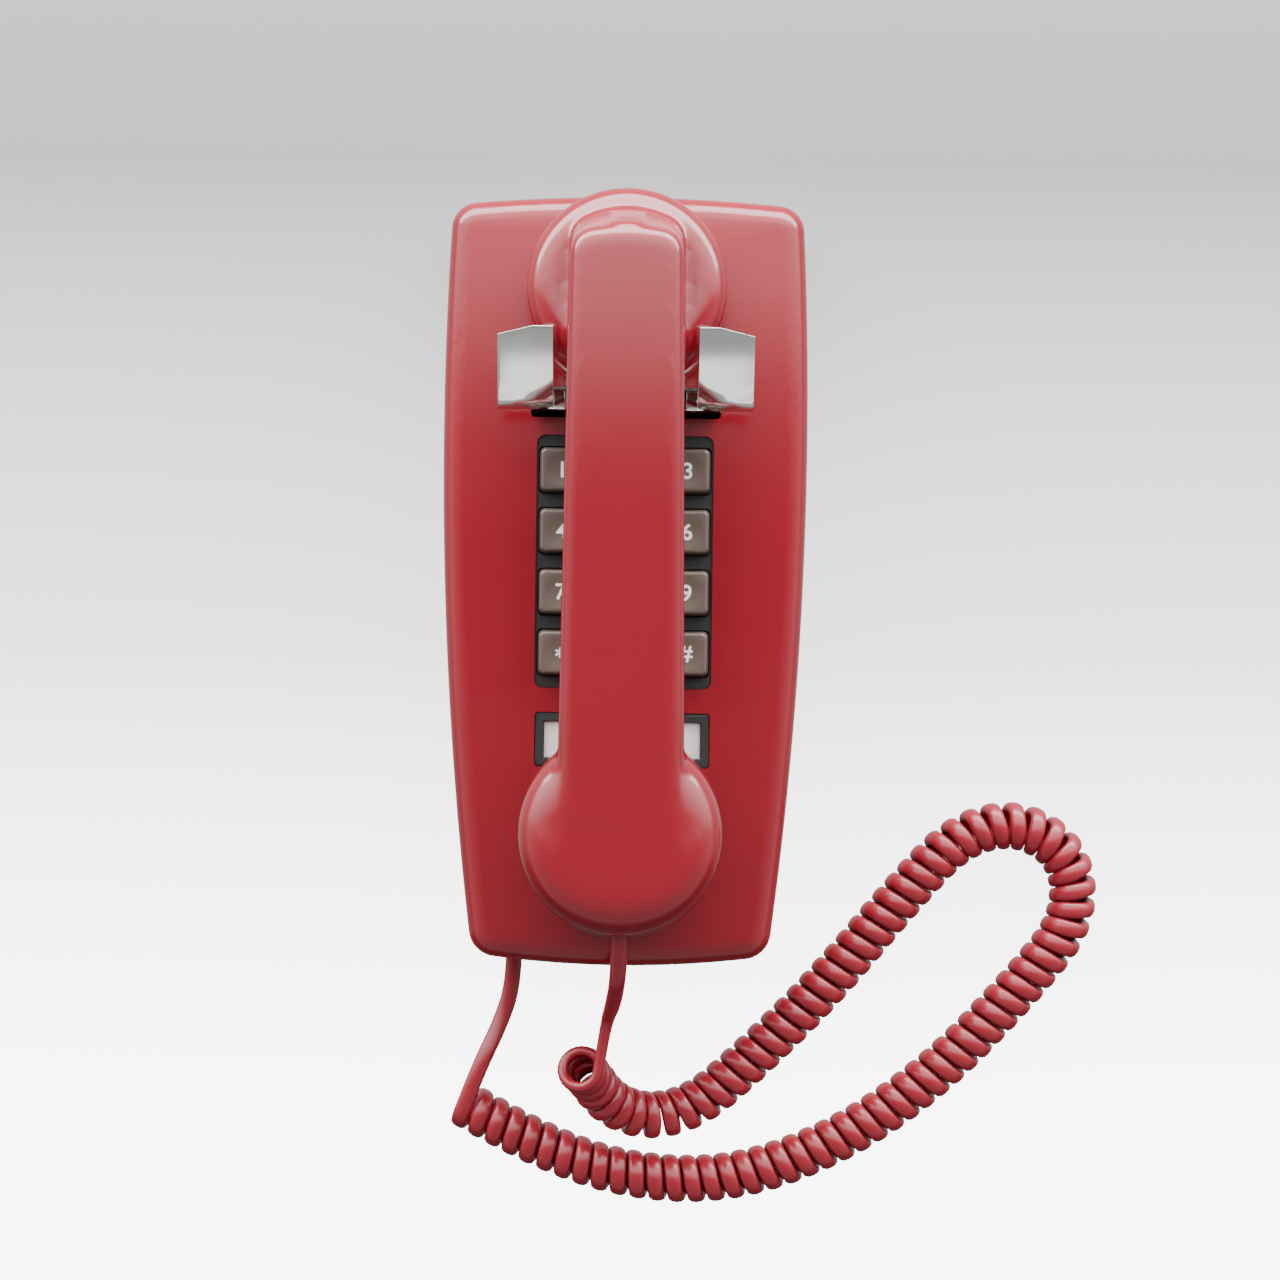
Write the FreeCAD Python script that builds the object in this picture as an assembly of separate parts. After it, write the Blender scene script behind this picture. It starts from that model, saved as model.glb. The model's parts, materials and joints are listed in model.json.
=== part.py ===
import FreeCAD, Part
import math
import os

# Wall telephone with a full-size handset hung over its keypad, in millimetres.
# It lies on its back: +Z points out of the wall, +Y up the telephone, +X to the right.
# The origin is on the back plane, at the middle of the housing.

Vector = FreeCAD.Vector
half_root = math.sqrt(0.5)
X_AXIS = Vector(1, 0, 0)
Z_AXIS = Vector(0, 0, 1)

# Clearances
seat_gap = 0.12
slide_gap = 0.3
pin_gap = 0.05

# Housing
housing_height = 229.0
housing_depth = 50.0
width_widest = 108.2
width_top = 104.4
width_bottom = 88.4
widest_y = 45.0
top_bow = 2.8
bottom_bow = 3.2
top_corner_radius = 8.0
bottom_corner_radius = 8.5
front_crown = 3.5
front_edge_radius = 6.6
housing_wall = 2.6
housing_low_y = -housing_height / 2
housing_high_y = housing_height / 2

# Base plate and its holes for the wall
plate_thickness = 2.0
keyhole_spacing = 101.6
keyhole_entry_radius = 4.6
keyhole_slot_radius = 2.3
keyhole_drop = 9.0
box_screw_spacing = 83.3
box_screw_centre_y = 22.0
box_screw_radius = 2.2
plug_window_x = 22.0
plug_window_y = 24.0

# Cover screws
cover_screw_radius = 1.5
cover_screw_head_radius = 3.2
cover_screw_length = 12.0
cover_screw_top_x = 38.0
cover_screw_top_inset = 17.5
cover_screw_bottom_inset = 8.1
cover_screw_top_y = housing_high_y - cover_screw_top_inset
cover_screw_bottom_y = housing_low_y + cover_screw_bottom_inset
cover_screw_slot = 0.8
cover_boss_radius = 4.0
cover_boss_depth = 16.0

# Keypad
key_pitch_x = 18.5
key_pitch_y = 18.0
key_size = 13.4
key_top_size = 12.2
key_proud = 5.4
key_travel = 2.2
key_corner = 1.6
key_crest = 0.7
key_dish_radius = 38.0
key_dish_depth = 0.35
key_flange = 15.6
key_flange_thickness = 1.7
key_stem_radius = 3.2
key_stem_length = 5.0
key_hole_gap = 0.4
keypad_centre_y = 5.6
faceplate_x = 52.0
faceplate_y = 74.6
faceplate_thickness = 2.2
faceplate_sink = 0.6
faceplate_corner = 2.5
faceplate_lip = 3.0
faceplate_lip_thickness = 1.2
mat_thickness = 1.5
keypad_board_thickness = 1.6
tray_wall = 1.6
tray_floor = 1.6
KEY_ROWS = (("1", "2", "3"), ("4", "5", "6"), ("7", "8", "9"), ("star", "0", "hash"))

# Number card
card_centre_y = -47.1
card_x = 46.4
card_y = 10.8
card_thickness = 0.4
card_border = 2.6
card_frame_thickness = 3.0
card_window_thickness = 0.9
card_frame_sink = 0.3
card_frame_corner = 1.2
card_frame_floor = 1.0
card_frame_lip = 2.0
card_frame_lip_depth = 1.4

# Hook
hook_pivot_y = 52.0
hook_pivot_z = 20.0
hook_pin_radius = 2.0
hook_boss_radius = 5.0
hook_thickness = 2.4
hook_bend_z = 68.3
hook_bend_radius = 1.5
hook_slope = 22.0
ear_inner_x = 21.0
ear_outer_x = 37.2
ear_inner_top_y = 74.2
ear_outer_top_y = 70.4
prong_inner_x = 17.6
prong_outer_x = 27.0
prong_y = 50.8
crossbar_radius = 2.4
crossbar_z = 36.0
ear_lip = 4.6
ear_step = 2.2
hook_slot_margin_x = 1.2
hook_slot_low_y = 48.2
hook_slot_high_y = 57.4
hook_slot_corner = 1.5
spring_tab_reach = 16.0
spring_tab_thickness = 2.2
spring_tab_drop = 1.6
spring_radius = 3.0
spring_wall = 0.8
spring_y = 40.0
hook_pin_head_radius = 3.2
hook_pin_head = 1.2

# Hook bracket and switch
bracket_wall = 2.0
bracket_gap = 1.5
bracket_foot_x = 10.0
bracket_foot = 1.5
bracket_cheek_y = 44.0
bracket_cheek_top = 28.0
bracket_y_low = 34.0
bracket_y_high = 60.0
bracket_tie_y = 57.8
bracket_tie_low = 10.0
bracket_tie_top = 28.0
switch_overhang = 0.2
switch_x = 16.0
switch_y = 13.0
switch_z = 14.0
plunger_radius = 1.6
plunger_head_radius = 2.6
plunger_head = 2.0
plunger_length = 12.0

# Network board
board_x = 82.0
board_low_y = -34.0
board_high_y = 30.0
board_z = 11.0
board_thickness = 1.6
board_post_radius = 3.0
board_post_x = 36.0
board_post_low_y = -29.0
board_post_high_y = 25.0
board_screw_radius = 1.3
board_screw_head_radius = 2.6
board_screw_head = 1.6
board_screw_length = 6.0
transformer_size = (24.0, 20.0, 13.0)
transformer_at = (-22.0, 12.0)
capacitor_radius = 4.5
capacitor_length = 22.0
capacitor_at = (17.0, 14.0)
terminal_rows = 6
terminal_pitch = 9.0
terminal_radius = 2.4
terminal_height = 4.0
terminal_y = -26.0

# Ringer
gong_radius = 18.0
gong_height = 12.0
gong_wall = 1.6
gong_x = 22.0
gong_rise = 44.5
gong_y = housing_low_y + gong_rise
gong_rim_z = 21.0
gong_post_radius = 3.0
gong_hole_radius = 2.0
gong_screw_head_radius = 3.4
gong_screw_head = 2.0
gong_screw_radius = 1.4
gong_screw_length = 8.0
ringer_plate_x = 47.0
ringer_plate_low_rise = 14.5
ringer_plate_low_y = housing_low_y + ringer_plate_low_rise
ringer_plate_high_rise = 49.0
ringer_plate_high_y = housing_low_y + ringer_plate_high_rise
ringer_plate_thickness = 1.5
coil_core_radius = 6.8
coil_flange_radius = 8.3
coil_flange = 2.0
coil_length = 28.0
coil_rise = 21.3
coil_y = housing_low_y + coil_rise
coil_z = 11.9
coil_arm = 2.0
coil_arm_half_y = 6.0
coil_arm_rise = 5.0
clapper_pivot_rise = 32.5
clapper_pivot_y = housing_low_y + clapper_pivot_rise
clapper_post_radius = 2.0
clapper_post_proud = 1.5
clapper_shoulder_radius = 3.2
clapper_hub_radius = 4.2
clapper_z = 21.2
clapper_thickness = 2.4
clapper_arm = 16.0
clapper_ball_radius = 2.4
clapper_ball_flat = 60.0
clapper_arm_width = 1.6
armature_half_x = 9.0
armature_reach = 11.0
armature_y = 5.0

# Volume wheel
wheel_x = 27.0
wheel_rise = 11.2
wheel_y = housing_low_y + wheel_rise
wheel_radius = 11.0
wheel_z = 6.0
wheel_thickness = 4.0
wheel_axle_radius = 2.5
wheel_shoulder_radius = 4.5
wheel_teeth = 30
wheel_groove = 0.75
wheel_slot_margin = 0.8

# Wall plug
plug_x = 9.65
plug_y = 12.0
plug_height = 7.6
plug_carrier_x = 28.0
plug_carrier_y = 26.0
plug_carrier_height = 7.0
plug_carrier_floor = 2.0
wall_plug_blades = 6
wall_plug_slot_y = 3.0
wall_plug_slot_z = 2.0
blade_pitch = 1.1
blade_half = 0.25
line_wire_radius = 0.6
line_wire_pitch = 2.0
line_wire_count = 4

# Cord jack at the bottom edge
base_jack_x = -32.4
base_jack_half_x = 5.4
base_jack_setback = 5.0
base_jack_low_z = 2.9
base_jack_high_z = 16.6
base_jack_back_rise = 21.5
base_jack_back_y = housing_low_y + base_jack_back_rise
base_plug_centre_z = 10.0
cord_plug_x = 7.7
cord_plug_height = 6.0
cord_plug_length = 13.0
cord_plug_chamfer = 0.6
cord_plug_blades = 4
cord_plug_slot_y = 4.0
cord_plug_slot_z = 1.6
plug_hole_gap = 0.35

# Handset
cap_radius = 29.7
cap_height = 11.0
cap_wall = 2.5
cap_edge = 2.2
cap_bevel = 0.8
receiver_y = 83.4
receiver_tilt = 6.0
transmitter_y = -72.5
transmitter_tilt = 10.0
rest_gap = 0.45
cup_radius = 29.3
cup_height = 25.5
cup_shoulder = 7.5
cup_dish = 2.4
dome_base = 18.0
dome_rise = 34.4
cup_neck_radius = 27.05
cup_neck_bottom = 4.0
cup_neck_root = 1.5
cup_bore = 24.6
cup_bore_top = 22.0
handle_back_z = 105.0
handle_half_x_top = 16.2
handle_half_x_bottom = 18.3
handle_crest_y = 99.4
handle_crest_bow = 2.0
handle_foot_y = 109.0
handle_foot_bow = 6.0
handle_low_y = -92.0
handle_low_bow = 8.0
handle_corner_radius = 7.0
handle_thickness = 18.0
handle_edge_radius = 4.5
grip_edge_radius = 5.0
grip_corner_radius = 8.0
grip_high_y = 58.0
grip_low_y = -49.0
handle_bore_radius = 3.5
handle_bore_depth = 10.5
handle_bore_inset = 6.0
handle_bore_fall = 40.0
handle_sink = 8.0
wire_bundle_radius = 1.4
wire_bundle_bend = 4.0
wire_bundle_drop = 31.0
unit_flange_radius = 24.2
unit_flange = 3.4
unit_body_radius = 18.0
unit_depth = 9.0
contact_radius = 11.0
contact_height = 2.6
contact_hole_radius = 3.0
sound_hole_radius = 0.9
sound_hole_pitch = 4.5
receiver_hole_rings = 3
transmitter_hole_rings = 4
handset_jack_low = 12.4
handset_jack_high = 21.6
handset_jack_half_x = 6.0
handset_jack_inner = 11.5
handset_plug_centre = 17.0
cord_hole_radius = 5.6
cord_hole_depth = 1.2

# Curly cord
cord_diameter = 3.3
coil_radius = 5.7
coil_turns = 78.1
coil_start_angle = 0.0
COIL_AXIS = (
    (-47.0, -160.2, 7.4),
    (-30.0, -170.0, 7.4),
    (0.0, -181.5, 7.4),
    (34.0, -183.0, 7.4),
    (68.0, -170.5, 7.4),
    (98.0, -149.0, 7.4),
    (124.0, -121.0, 7.4),
    (139.0, -102.0, 7.4),
    (138.0, -82.0, 7.4),
    (122.5, -71.5, 7.4),
    (104.0, -75.5, 7.4),
    (88.0, -92.5, 7.4),
    (62.0, -124.0, 7.4),
    (40.0, -146.0, 7.4),
    (24.0, -160.0, 7.4),
    (9.0, -163.5, 7.4),
    (-4.0, -159.0, 8.4),
    (-12.5, -149.5, 18.0),
    (-14.5, -147.0, 30.0),
)
base_lead_run = 10.5
handset_lead_run = 15.0
coil_lead_run = 10.0
BASE_LEAD = (
    (-36.2, -135.0, 10.2),
)
HANDSET_LEAD = (
    (-6.9, -124.6, 37.8),
)


# Small helpers

def box(low, high):
    """A block between two corners."""
    size = Vector(*high) - Vector(*low)
    return Part.makeBox(size.x, size.y, size.z, Vector(*low))


def rod(radius, start, end):
    """A round bar between two points."""
    start, end = Vector(*start), Vector(*end)
    return Part.makeCylinder(radius, (end - start).Length, start, end - start)


def tube(outer, inner, start, end):
    """A round bar with a bore along it."""
    return rod(outer, start, end).cut(rod(inner, start, end))


def fuse(shapes):
    """One solid from several that meet."""
    return shapes[0].multiFuse(shapes[1:]).removeSplitter()


def fuse_all(shapes):
    """Several cutters as one shape."""
    return shapes[0].multiFuse(shapes[1:])


def side_box(side, low, high):
    """A block given for the right side, or its mirror image on the left."""
    near, far = sorted((side * low[0], side * high[0]))
    return box((near, low[1], low[2]), (far, high[1], high[2]))


def line(a, b):
    return Part.LineSegment(a, b).toShape()


def arc(a, through, b):
    return Part.Arc(a, through, b).toShape()


def polygon(points):
    """A closed flat face through the given points."""
    closed = [Vector(*p) for p in points]
    return Part.Face(Part.makePolygon(closed + closed[:1]))


def rounded_block(size_x, size_y, corner, low_z, high_z, centre=(0.0, 0.0)):
    """An upright block with rounded corners, centred on a point of the plan."""
    (x, y), half_x, half_y = centre, size_x / 2, size_y / 2
    block = box((x - half_x, y - half_y, low_z), (x + half_x, y + half_y, high_z))
    return block.makeFillet(corner, upright_edges(block)) if corner else block


def upright_edges(shape):
    """The straight edges that run along Z."""
    found = []
    for edge in shape.Edges:
        ends = [v.Point for v in edge.Vertexes]
        if len(ends) == 2 and math.hypot(ends[0].x - ends[1].x, ends[0].y - ends[1].y) < 1e-6:
            found.append(edge)
    return found


def revolved(edges):
    """A solid of revolution about Z from a closed outline in the XZ plane."""
    return Part.Face(Part.Wire(edges)).revolve(Vector(), Z_AXIS, 360)


# Housing and base plate

def front_z(y, sink=0.0):
    """Height of the crowned front at a place along the telephone."""
    crown_radius = (housing_height / 2) ** 2 / (2 * front_crown)
    return housing_depth - sink - y * y / (2 * crown_radius)


def case_outline(inset, high_z):
    """The upright block of the case's outline, moved inwards by an inset."""
    half_height = housing_height / 2 - inset
    top_y = housing_high_y - top_bow - inset
    low_y = housing_low_y + bottom_bow + inset
    top_x, wide_x, low_x = (w / 2 - inset for w in (width_top, width_widest, width_bottom))
    corners = [Vector(x, y, 0) for x, y in ((low_x, low_y), (top_x, top_y), (-top_x, top_y), (-low_x, low_y))]
    through = [Vector(x, y, 0) for x, y in
               ((wide_x, widest_y), (0, half_height), (-wide_x, widest_y), (0, -half_height))]
    edges = [arc(corners[i], through[i], corners[(i + 1) % 4]) for i in range(4)]
    block = Part.Face(Part.Wire(edges)).extrude(Vector(0, 0, high_z))
    top_edges = [e for e in upright_edges(block) if e.Vertexes[0].Point.y > 0]
    block = block.makeFillet(top_corner_radius - inset, top_edges)
    low_edges = [e for e in upright_edges(block) if e.Vertexes[0].Point.y < low_y + 1]
    return block.makeFillet(bottom_corner_radius - inset, low_edges)


def case_solid(inset, sink):
    """The case's outline under its crowned front."""
    reach = housing_height / 2 + 5
    crown = [Vector(0, y, front_z(y, sink)) for y in (-reach, 0, reach)]
    floor = [Vector(0, reach, -sink), Vector(0, -reach, -sink)]
    side = [arc(*crown), line(crown[2], floor[0]), line(floor[0], floor[1]), line(floor[1], crown[0])]
    prism = Part.Face(Part.Wire(side)).extrude(Vector(2 * width_widest, 0, 0))
    prism.translate(Vector(-width_widest, 0, 0))
    return case_outline(inset, housing_depth + 5).common(prism)


def key_places():
    """Name and plan position of each key."""
    places = []
    for row, names in enumerate(KEY_ROWS):
        y = keypad_centre_y + (1.5 - row) * key_pitch_y
        places += [(name, (column - 1) * key_pitch_x, y) for column, name in enumerate(names)]
    return places


def cover_screw_places():
    top_x, top_y = cover_screw_top_x, cover_screw_top_y
    return ((-top_x, top_y), (top_x, top_y), (0, cover_screw_bottom_y))


faceplate_top = front_z(keypad_centre_y + faceplate_y / 2, faceplate_sink)
faceplate_low = faceplate_top - faceplate_thickness
faceplate_lip_top = front_z(keypad_centre_y + faceplate_y / 2 + faceplate_lip, housing_wall + seat_gap)
faceplate_back = min(faceplate_low, faceplate_lip_top) - faceplate_lip_thickness
card_frame_top = front_z(card_centre_y, card_frame_sink)
card_frame_low = card_frame_top - card_frame_thickness


def make_housing():
    outer = case_solid(0, 0)
    rim = [e for e in outer.Edges if min(v.Point.z for v in e.Vertexes) > housing_depth / 2]
    outer = outer.makeFillet(front_edge_radius, rim)
    shell = outer.cut(case_solid(housing_wall, housing_wall))
    bosses = []
    for x, y in cover_screw_places():
        top = front_z(y, housing_wall / 2)
        bosses.append(rod(cover_boss_radius, (x, y, plate_thickness + slide_gap), (x, y, top)))
    shell = fuse([shell] + bosses)
    cuts = []
    for x, y in cover_screw_places():
        cuts.append(rod(cover_screw_radius + pin_gap, (x, y, 0), (x, y, cover_boss_depth)))
    above = housing_depth + 5
    cuts.append(rounded_block(faceplate_x + 2 * seat_gap, faceplate_y + 2 * seat_gap, faceplate_corner,
                              0, above, (0, keypad_centre_y)))
    card_hole_x = card_x + 2 * card_border + 2 * seat_gap
    card_hole_y = card_y + 2 * card_border + 2 * seat_gap
    cuts.append(rounded_block(card_hole_x, card_hole_y, card_frame_corner, 0, above, (0, card_centre_y)))
    low_x, high_x = prong_inner_x - hook_slot_margin_x, prong_outer_x + hook_slot_margin_x
    slot_y = (hook_slot_low_y + hook_slot_high_y) / 2
    for side in (-1, 1):
        centre = (side * (low_x + high_x) / 2, slot_y)
        cuts.append(rounded_block(high_x - low_x, hook_slot_high_y - hook_slot_low_y, hook_slot_corner,
                                  housing_depth / 2, above, centre))
    edge_y = housing_low_y
    half_x, half_z = cord_plug_x / 2 + plug_hole_gap, cord_plug_height / 2 + plug_hole_gap
    cuts.append(box((base_jack_x - half_x, edge_y - 1, base_plug_centre_z - half_z),
                    (base_jack_x + half_x, edge_y + 3 * housing_wall, base_plug_centre_z + half_z)))
    cuts.append(rod(wheel_radius + wheel_slot_margin, (wheel_x, wheel_y, wheel_z - wheel_slot_margin),
                    (wheel_x, wheel_y, wheel_z + wheel_thickness + wheel_slot_margin)))
    return shell.cut(fuse_all(cuts))


def board_post_places():
    return [(x, y) for x in (-board_post_x, board_post_x) for y in (board_post_low_y, board_post_high_y)]


def make_base_plate():
    plate = case_outline(housing_wall + slide_gap, plate_thickness)
    inside = plate_thickness / 2
    posts = [rod(board_post_radius, (x, y, inside), (x, y, board_z)) for x, y in board_post_places()]
    axle = rod(wheel_axle_radius, (wheel_x, wheel_y, plate_thickness / 2),
               (wheel_x, wheel_y, wheel_z + wheel_thickness + 1))
    shoulder = rod(wheel_shoulder_radius, (wheel_x, wheel_y, plate_thickness / 2),
                   (wheel_x, wheel_y, wheel_z - slide_gap))
    plate = fuse([plate, axle, shoulder] + posts)
    cuts = []
    for seat_y in (keyhole_spacing / 2, -keyhole_spacing / 2):
        entry_y = seat_y - keyhole_drop
        cuts.append(rod(keyhole_entry_radius, (0, entry_y, -1), (0, entry_y, plate_thickness + 1)))
        cuts.append(rod(keyhole_slot_radius, (0, seat_y, -1), (0, seat_y, plate_thickness + 1)))
        cuts.append(box((-keyhole_slot_radius, entry_y, -1),
                        (keyhole_slot_radius, seat_y, plate_thickness + 1)))
    for side in (-1, 1):
        y = box_screw_centre_y + side * box_screw_spacing / 2
        cuts.append(rod(box_screw_radius, (0, y, -1), (0, y, plate_thickness + 1)))
    cuts.append(rounded_block(plug_window_x, plug_window_y, 0, -1, plate_thickness + 1))
    for x, y in cover_screw_places():
        cuts.append(rod(cover_screw_radius + seat_gap, (x, y, -1), (x, y, plate_thickness + 1)))
        cuts.append(Part.makeCone(cover_screw_head_radius + seat_gap, cover_screw_radius + seat_gap,
                                  plate_thickness, Vector(x, y, 0)))
    for x, y in board_post_places():
        cuts.append(rod(board_screw_radius, (x, y, board_z - board_screw_length), (x, y, board_z + 1)))
    return plate.cut(fuse_all(cuts))


def make_cover_screws():
    screws = []
    head = plate_thickness - seat_gap
    for x, y in cover_screw_places():
        cone = Part.makeCone(cover_screw_head_radius, cover_screw_radius, head, Vector(x, y, seat_gap))
        shank = rod(cover_screw_radius, (x, y, plate_thickness / 2), (x, y, cover_screw_length))
        slot = rounded_block(3 * cover_screw_head_radius, cover_screw_slot, 0, 0, cover_screw_slot, (x, y))
        screws.append(fuse([cone, shank]).cut(slot))
    return Part.makeCompound(screws)


# Keypad

def make_faceplate():
    centre = (0, keypad_centre_y)
    plate = rounded_block(faceplate_x, faceplate_y, faceplate_corner, faceplate_back, faceplate_top, centre)
    lip = rounded_block(faceplate_x + 2 * faceplate_lip, faceplate_y + 2 * faceplate_lip, faceplate_corner,
                        faceplate_back, faceplate_lip_top, centre)
    plate = fuse([plate, lip])
    opening = key_size + 2 * key_hole_gap
    cuts = [rounded_block(opening, opening, key_corner, faceplate_back - 1, faceplate_top + 1, (x, y))
            for _, x, y in key_places()]
    return plate.cut(fuse_all(cuts))


key_flange_top = faceplate_back - slide_gap
key_stem_low = key_flange_top - key_flange_thickness - key_stem_length
mat_top = key_stem_low - key_travel - slide_gap
mat_low = mat_top - mat_thickness
keypad_board_low = mat_low - seat_gap - keypad_board_thickness
tray_low = keypad_board_low - seat_gap - tray_floor


def rounded_square(x, y, half, z):
    """The outline of a key at one height, with rounded corners."""
    flat, turn = half - key_corner, half - key_corner * (1 - half_root)
    arcs = []
    for a, b in ((1, 1), (-1, 1), (-1, -1), (1, -1)):
        ends = [Vector(x + a * half, y + b * flat, z), Vector(x + a * flat, y + b * half, z)]
        start, end = ends if a * b > 0 else reversed(ends)
        arcs.append(arc(start, Vector(x + a * turn, y + b * turn, z), end))
    edges = []
    for corner, following in zip(arcs, arcs[1:] + arcs[:1]):
        edges += [corner, line(corner.Vertexes[-1].Point, following.Vertexes[0].Point)]
    return Part.Wire(edges)


def key_dish(x, y, low_z):
    """The ball that hollows a key's top, with its poles to the sides."""
    ball = Part.makeSphere(key_dish_radius, Vector(), X_AXIS)
    ball.rotate(Vector(), X_AXIS, 90)
    ball.translate(Vector(x, y, low_z + key_dish_radius))
    return ball


def make_key(x, y):
    """A key with a dished top, its flange under the faceplate and its stem."""
    top = faceplate_top + key_proud
    rings = [rounded_square(x, y, key_size / 2, faceplate_top), rounded_square(x, y, key_top_size / 2, top)]
    cap = Part.makeLoft(rings, True, True)
    crest = [e for e in cap.Edges if min(v.Point.z for v in e.Vertexes) > top - 0.01]
    cap = cap.makeFillet(key_crest, crest).cut(key_dish(x, y, top - key_dish_depth))
    flange_low, inside = key_flange_top - key_flange_thickness, key_flange_top - key_flange_thickness / 2
    neck = rounded_block(key_size, key_size, key_corner, inside, faceplate_top, (x, y))
    flange = rounded_block(key_flange, key_flange, key_corner, flange_low, key_flange_top, (x, y))
    stem = rod(key_stem_radius, (x, y, key_stem_low), (x, y, inside))
    return fuse([cap, neck, flange, stem])


def make_mat():
    """Rubber sheet under the stems."""
    size_x = 2 * key_pitch_x + key_flange
    size_y = 3 * key_pitch_y + key_flange
    return rounded_block(size_x, size_y, 1.0, mat_low, mat_top, (0, keypad_centre_y))


def make_keypad_board():
    size_x = faceplate_x + 2 * faceplate_lip - 2 * tray_wall - 2 * seat_gap
    size_y = faceplate_y + 2 * faceplate_lip - 2 * tray_wall - 2 * seat_gap
    return rounded_block(size_x, size_y, 1.0, keypad_board_low, mat_low - seat_gap, (0, keypad_centre_y))


def make_tray():
    """Open box that holds the board and the mat up to the faceplate."""
    size_x = faceplate_x + 2 * faceplate_lip
    size_y = faceplate_y + 2 * faceplate_lip
    centre = (0, keypad_centre_y)
    block = rounded_block(size_x, size_y, faceplate_corner, tray_low, faceplate_back - seat_gap, centre)
    hollow = rounded_block(size_x - 2 * tray_wall, size_y - 2 * tray_wall, 0, tray_low + tray_floor,
                           housing_depth, centre)
    return block.cut(hollow)


def make_card_frame():
    outer_x, outer_y = card_x + 2 * card_border, card_y + 2 * card_border
    centre = (0, card_centre_y)
    frame = rounded_block(outer_x, outer_y, card_frame_corner, card_frame_low, card_frame_top, centre)
    recess = rounded_block(card_x, card_y, 0, card_frame_low + card_frame_floor, card_frame_top + 1, centre)
    lip_top = front_z(card_centre_y - outer_y / 2 - card_frame_lip, housing_wall + seat_gap)
    lip = rounded_block(outer_x + 2 * card_frame_lip, outer_y + 2 * card_frame_lip, card_frame_corner,
                        card_frame_low - card_frame_lip_depth, lip_top, centre)
    return fuse([frame, lip]).cut(recess)


def card_layer(lift, corner, thickness):
    """One flat layer in the card frame's recess, lifted off its floor."""
    low = card_frame_low + card_frame_floor + lift
    return rounded_block(card_x - 2 * seat_gap, card_y - 2 * seat_gap, corner, low, low + thickness,
                         (0, card_centre_y))


def make_card():
    return card_layer(seat_gap / 2, 0, card_thickness)


def make_card_window():
    return card_layer(seat_gap + card_thickness, 0.4, card_window_thickness)


# Hook

def hook_side_profile():
    """The bent strip of one prong and ear, as a face in the YZ plane."""
    slope = math.radians(hook_slope)
    low_y, high_y = prong_y - hook_thickness / 2, prong_y + hook_thickness / 2
    centre = Vector(0, high_y + hook_bend_radius, hook_bend_z)
    out = Vector(0, -math.sin(slope), math.cos(slope))
    half_way = (out + Vector(0, -1, 0)).normalize()
    reach = (ear_inner_top_y - centre.y) / math.cos(slope)
    along = Vector(0, math.cos(slope), math.sin(slope)) * reach
    inner, outer = hook_bend_radius, hook_bend_radius + hook_thickness
    bottom_out, bottom_in = Vector(0, low_y, hook_pivot_z), Vector(0, high_y, hook_pivot_z)
    bend_out, bend_in = Vector(0, low_y, hook_bend_z), Vector(0, high_y, hook_bend_z)
    ear_out, ear_in = centre + out * outer, centre + out * inner
    tip_out, tip_in = ear_out + along, ear_in + along
    edges = [line(bottom_out, bend_out), arc(bend_out, centre + half_way * outer, ear_out),
             line(ear_out, tip_out), line(tip_out, tip_in), line(tip_in, ear_in),
             arc(ear_in, centre + half_way * inner, bend_in), line(bend_in, bottom_in),
             line(bottom_in, bottom_out)]
    return Part.Face(Part.Wire(edges))


def hook_strip(side):
    """One side's strip, narrow at the prong and wide at the ear."""
    far = housing_height
    width = ear_outer_x - prong_inner_x
    strip = hook_side_profile().extrude(Vector(side * width, 0, 0))
    strip.translate(Vector(side * prong_inner_x, 0, 0))
    beside = side_box(side, (prong_outer_x, 0, 0), (far, far, hook_bend_z - ear_lip))
    between = side_box(side, (0, 0, hook_bend_z + ear_step), (ear_inner_x, far, far))
    top = polygon([(side * ear_inner_x, ear_inner_top_y, 0), (side * ear_outer_x, ear_outer_top_y, 0),
                   (side * ear_outer_x, far, 0), (side * ear_inner_x, far, 0)])
    return strip.cut(fuse_all([beside, between, top.extrude(Vector(0, 0, far))]))


def make_hook():
    """Two prongs with slanted ears, a crossbar, pivot bosses and spring tabs."""
    pivot_y, pivot_z = hook_pivot_y, hook_pivot_z
    parts = []
    tab_low = pivot_z - spring_tab_drop
    for side in (-1, 1):
        near, far = side * prong_inner_x, side * prong_outer_x
        parts.append(hook_strip(side))
        parts.append(rod(hook_boss_radius, (near, pivot_y, pivot_z), (far, pivot_y, pivot_z)))
        parts.append(side_box(side, (prong_inner_x, pivot_y - spring_tab_reach, tab_low),
                              (prong_outer_x, pivot_y, tab_low + spring_tab_thickness)))
    reach = prong_inner_x + 1
    parts.append(rod(crossbar_radius, (-reach, prong_y, crossbar_z), (reach, prong_y, crossbar_z)))
    reach = prong_outer_x + 1
    bore = rod(hook_pin_radius + pin_gap, (-reach, pivot_y, pivot_z), (reach, pivot_y, pivot_z))
    return fuse(parts).cut(bore)


bracket_inner_x = prong_outer_x + bracket_gap
bracket_outer_x = bracket_inner_x + bracket_wall


def make_hook_bracket():
    """Two upright cheeks on feet, tied together behind the crossbar."""
    parts = []
    foot_top = plate_thickness + bracket_foot
    for side in (-1, 1):
        parts.append(side_box(side, (bracket_inner_x, bracket_cheek_y, plate_thickness),
                              (bracket_outer_x, bracket_y_high, bracket_cheek_top)))
        parts.append(side_box(side, (prong_inner_x, bracket_y_low, plate_thickness),
                              (bracket_inner_x + bracket_foot_x, bracket_y_high, foot_top)))
    parts.append(box((-bracket_outer_x, bracket_tie_y, bracket_tie_low),
                     (bracket_outer_x, bracket_y_high, bracket_tie_top)))
    reach = bracket_outer_x + 1
    bore = rod(hook_pin_radius, (-reach, hook_pivot_y, hook_pivot_z), (reach, hook_pivot_y, hook_pivot_z))
    return fuse(parts).cut(bore)


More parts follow.
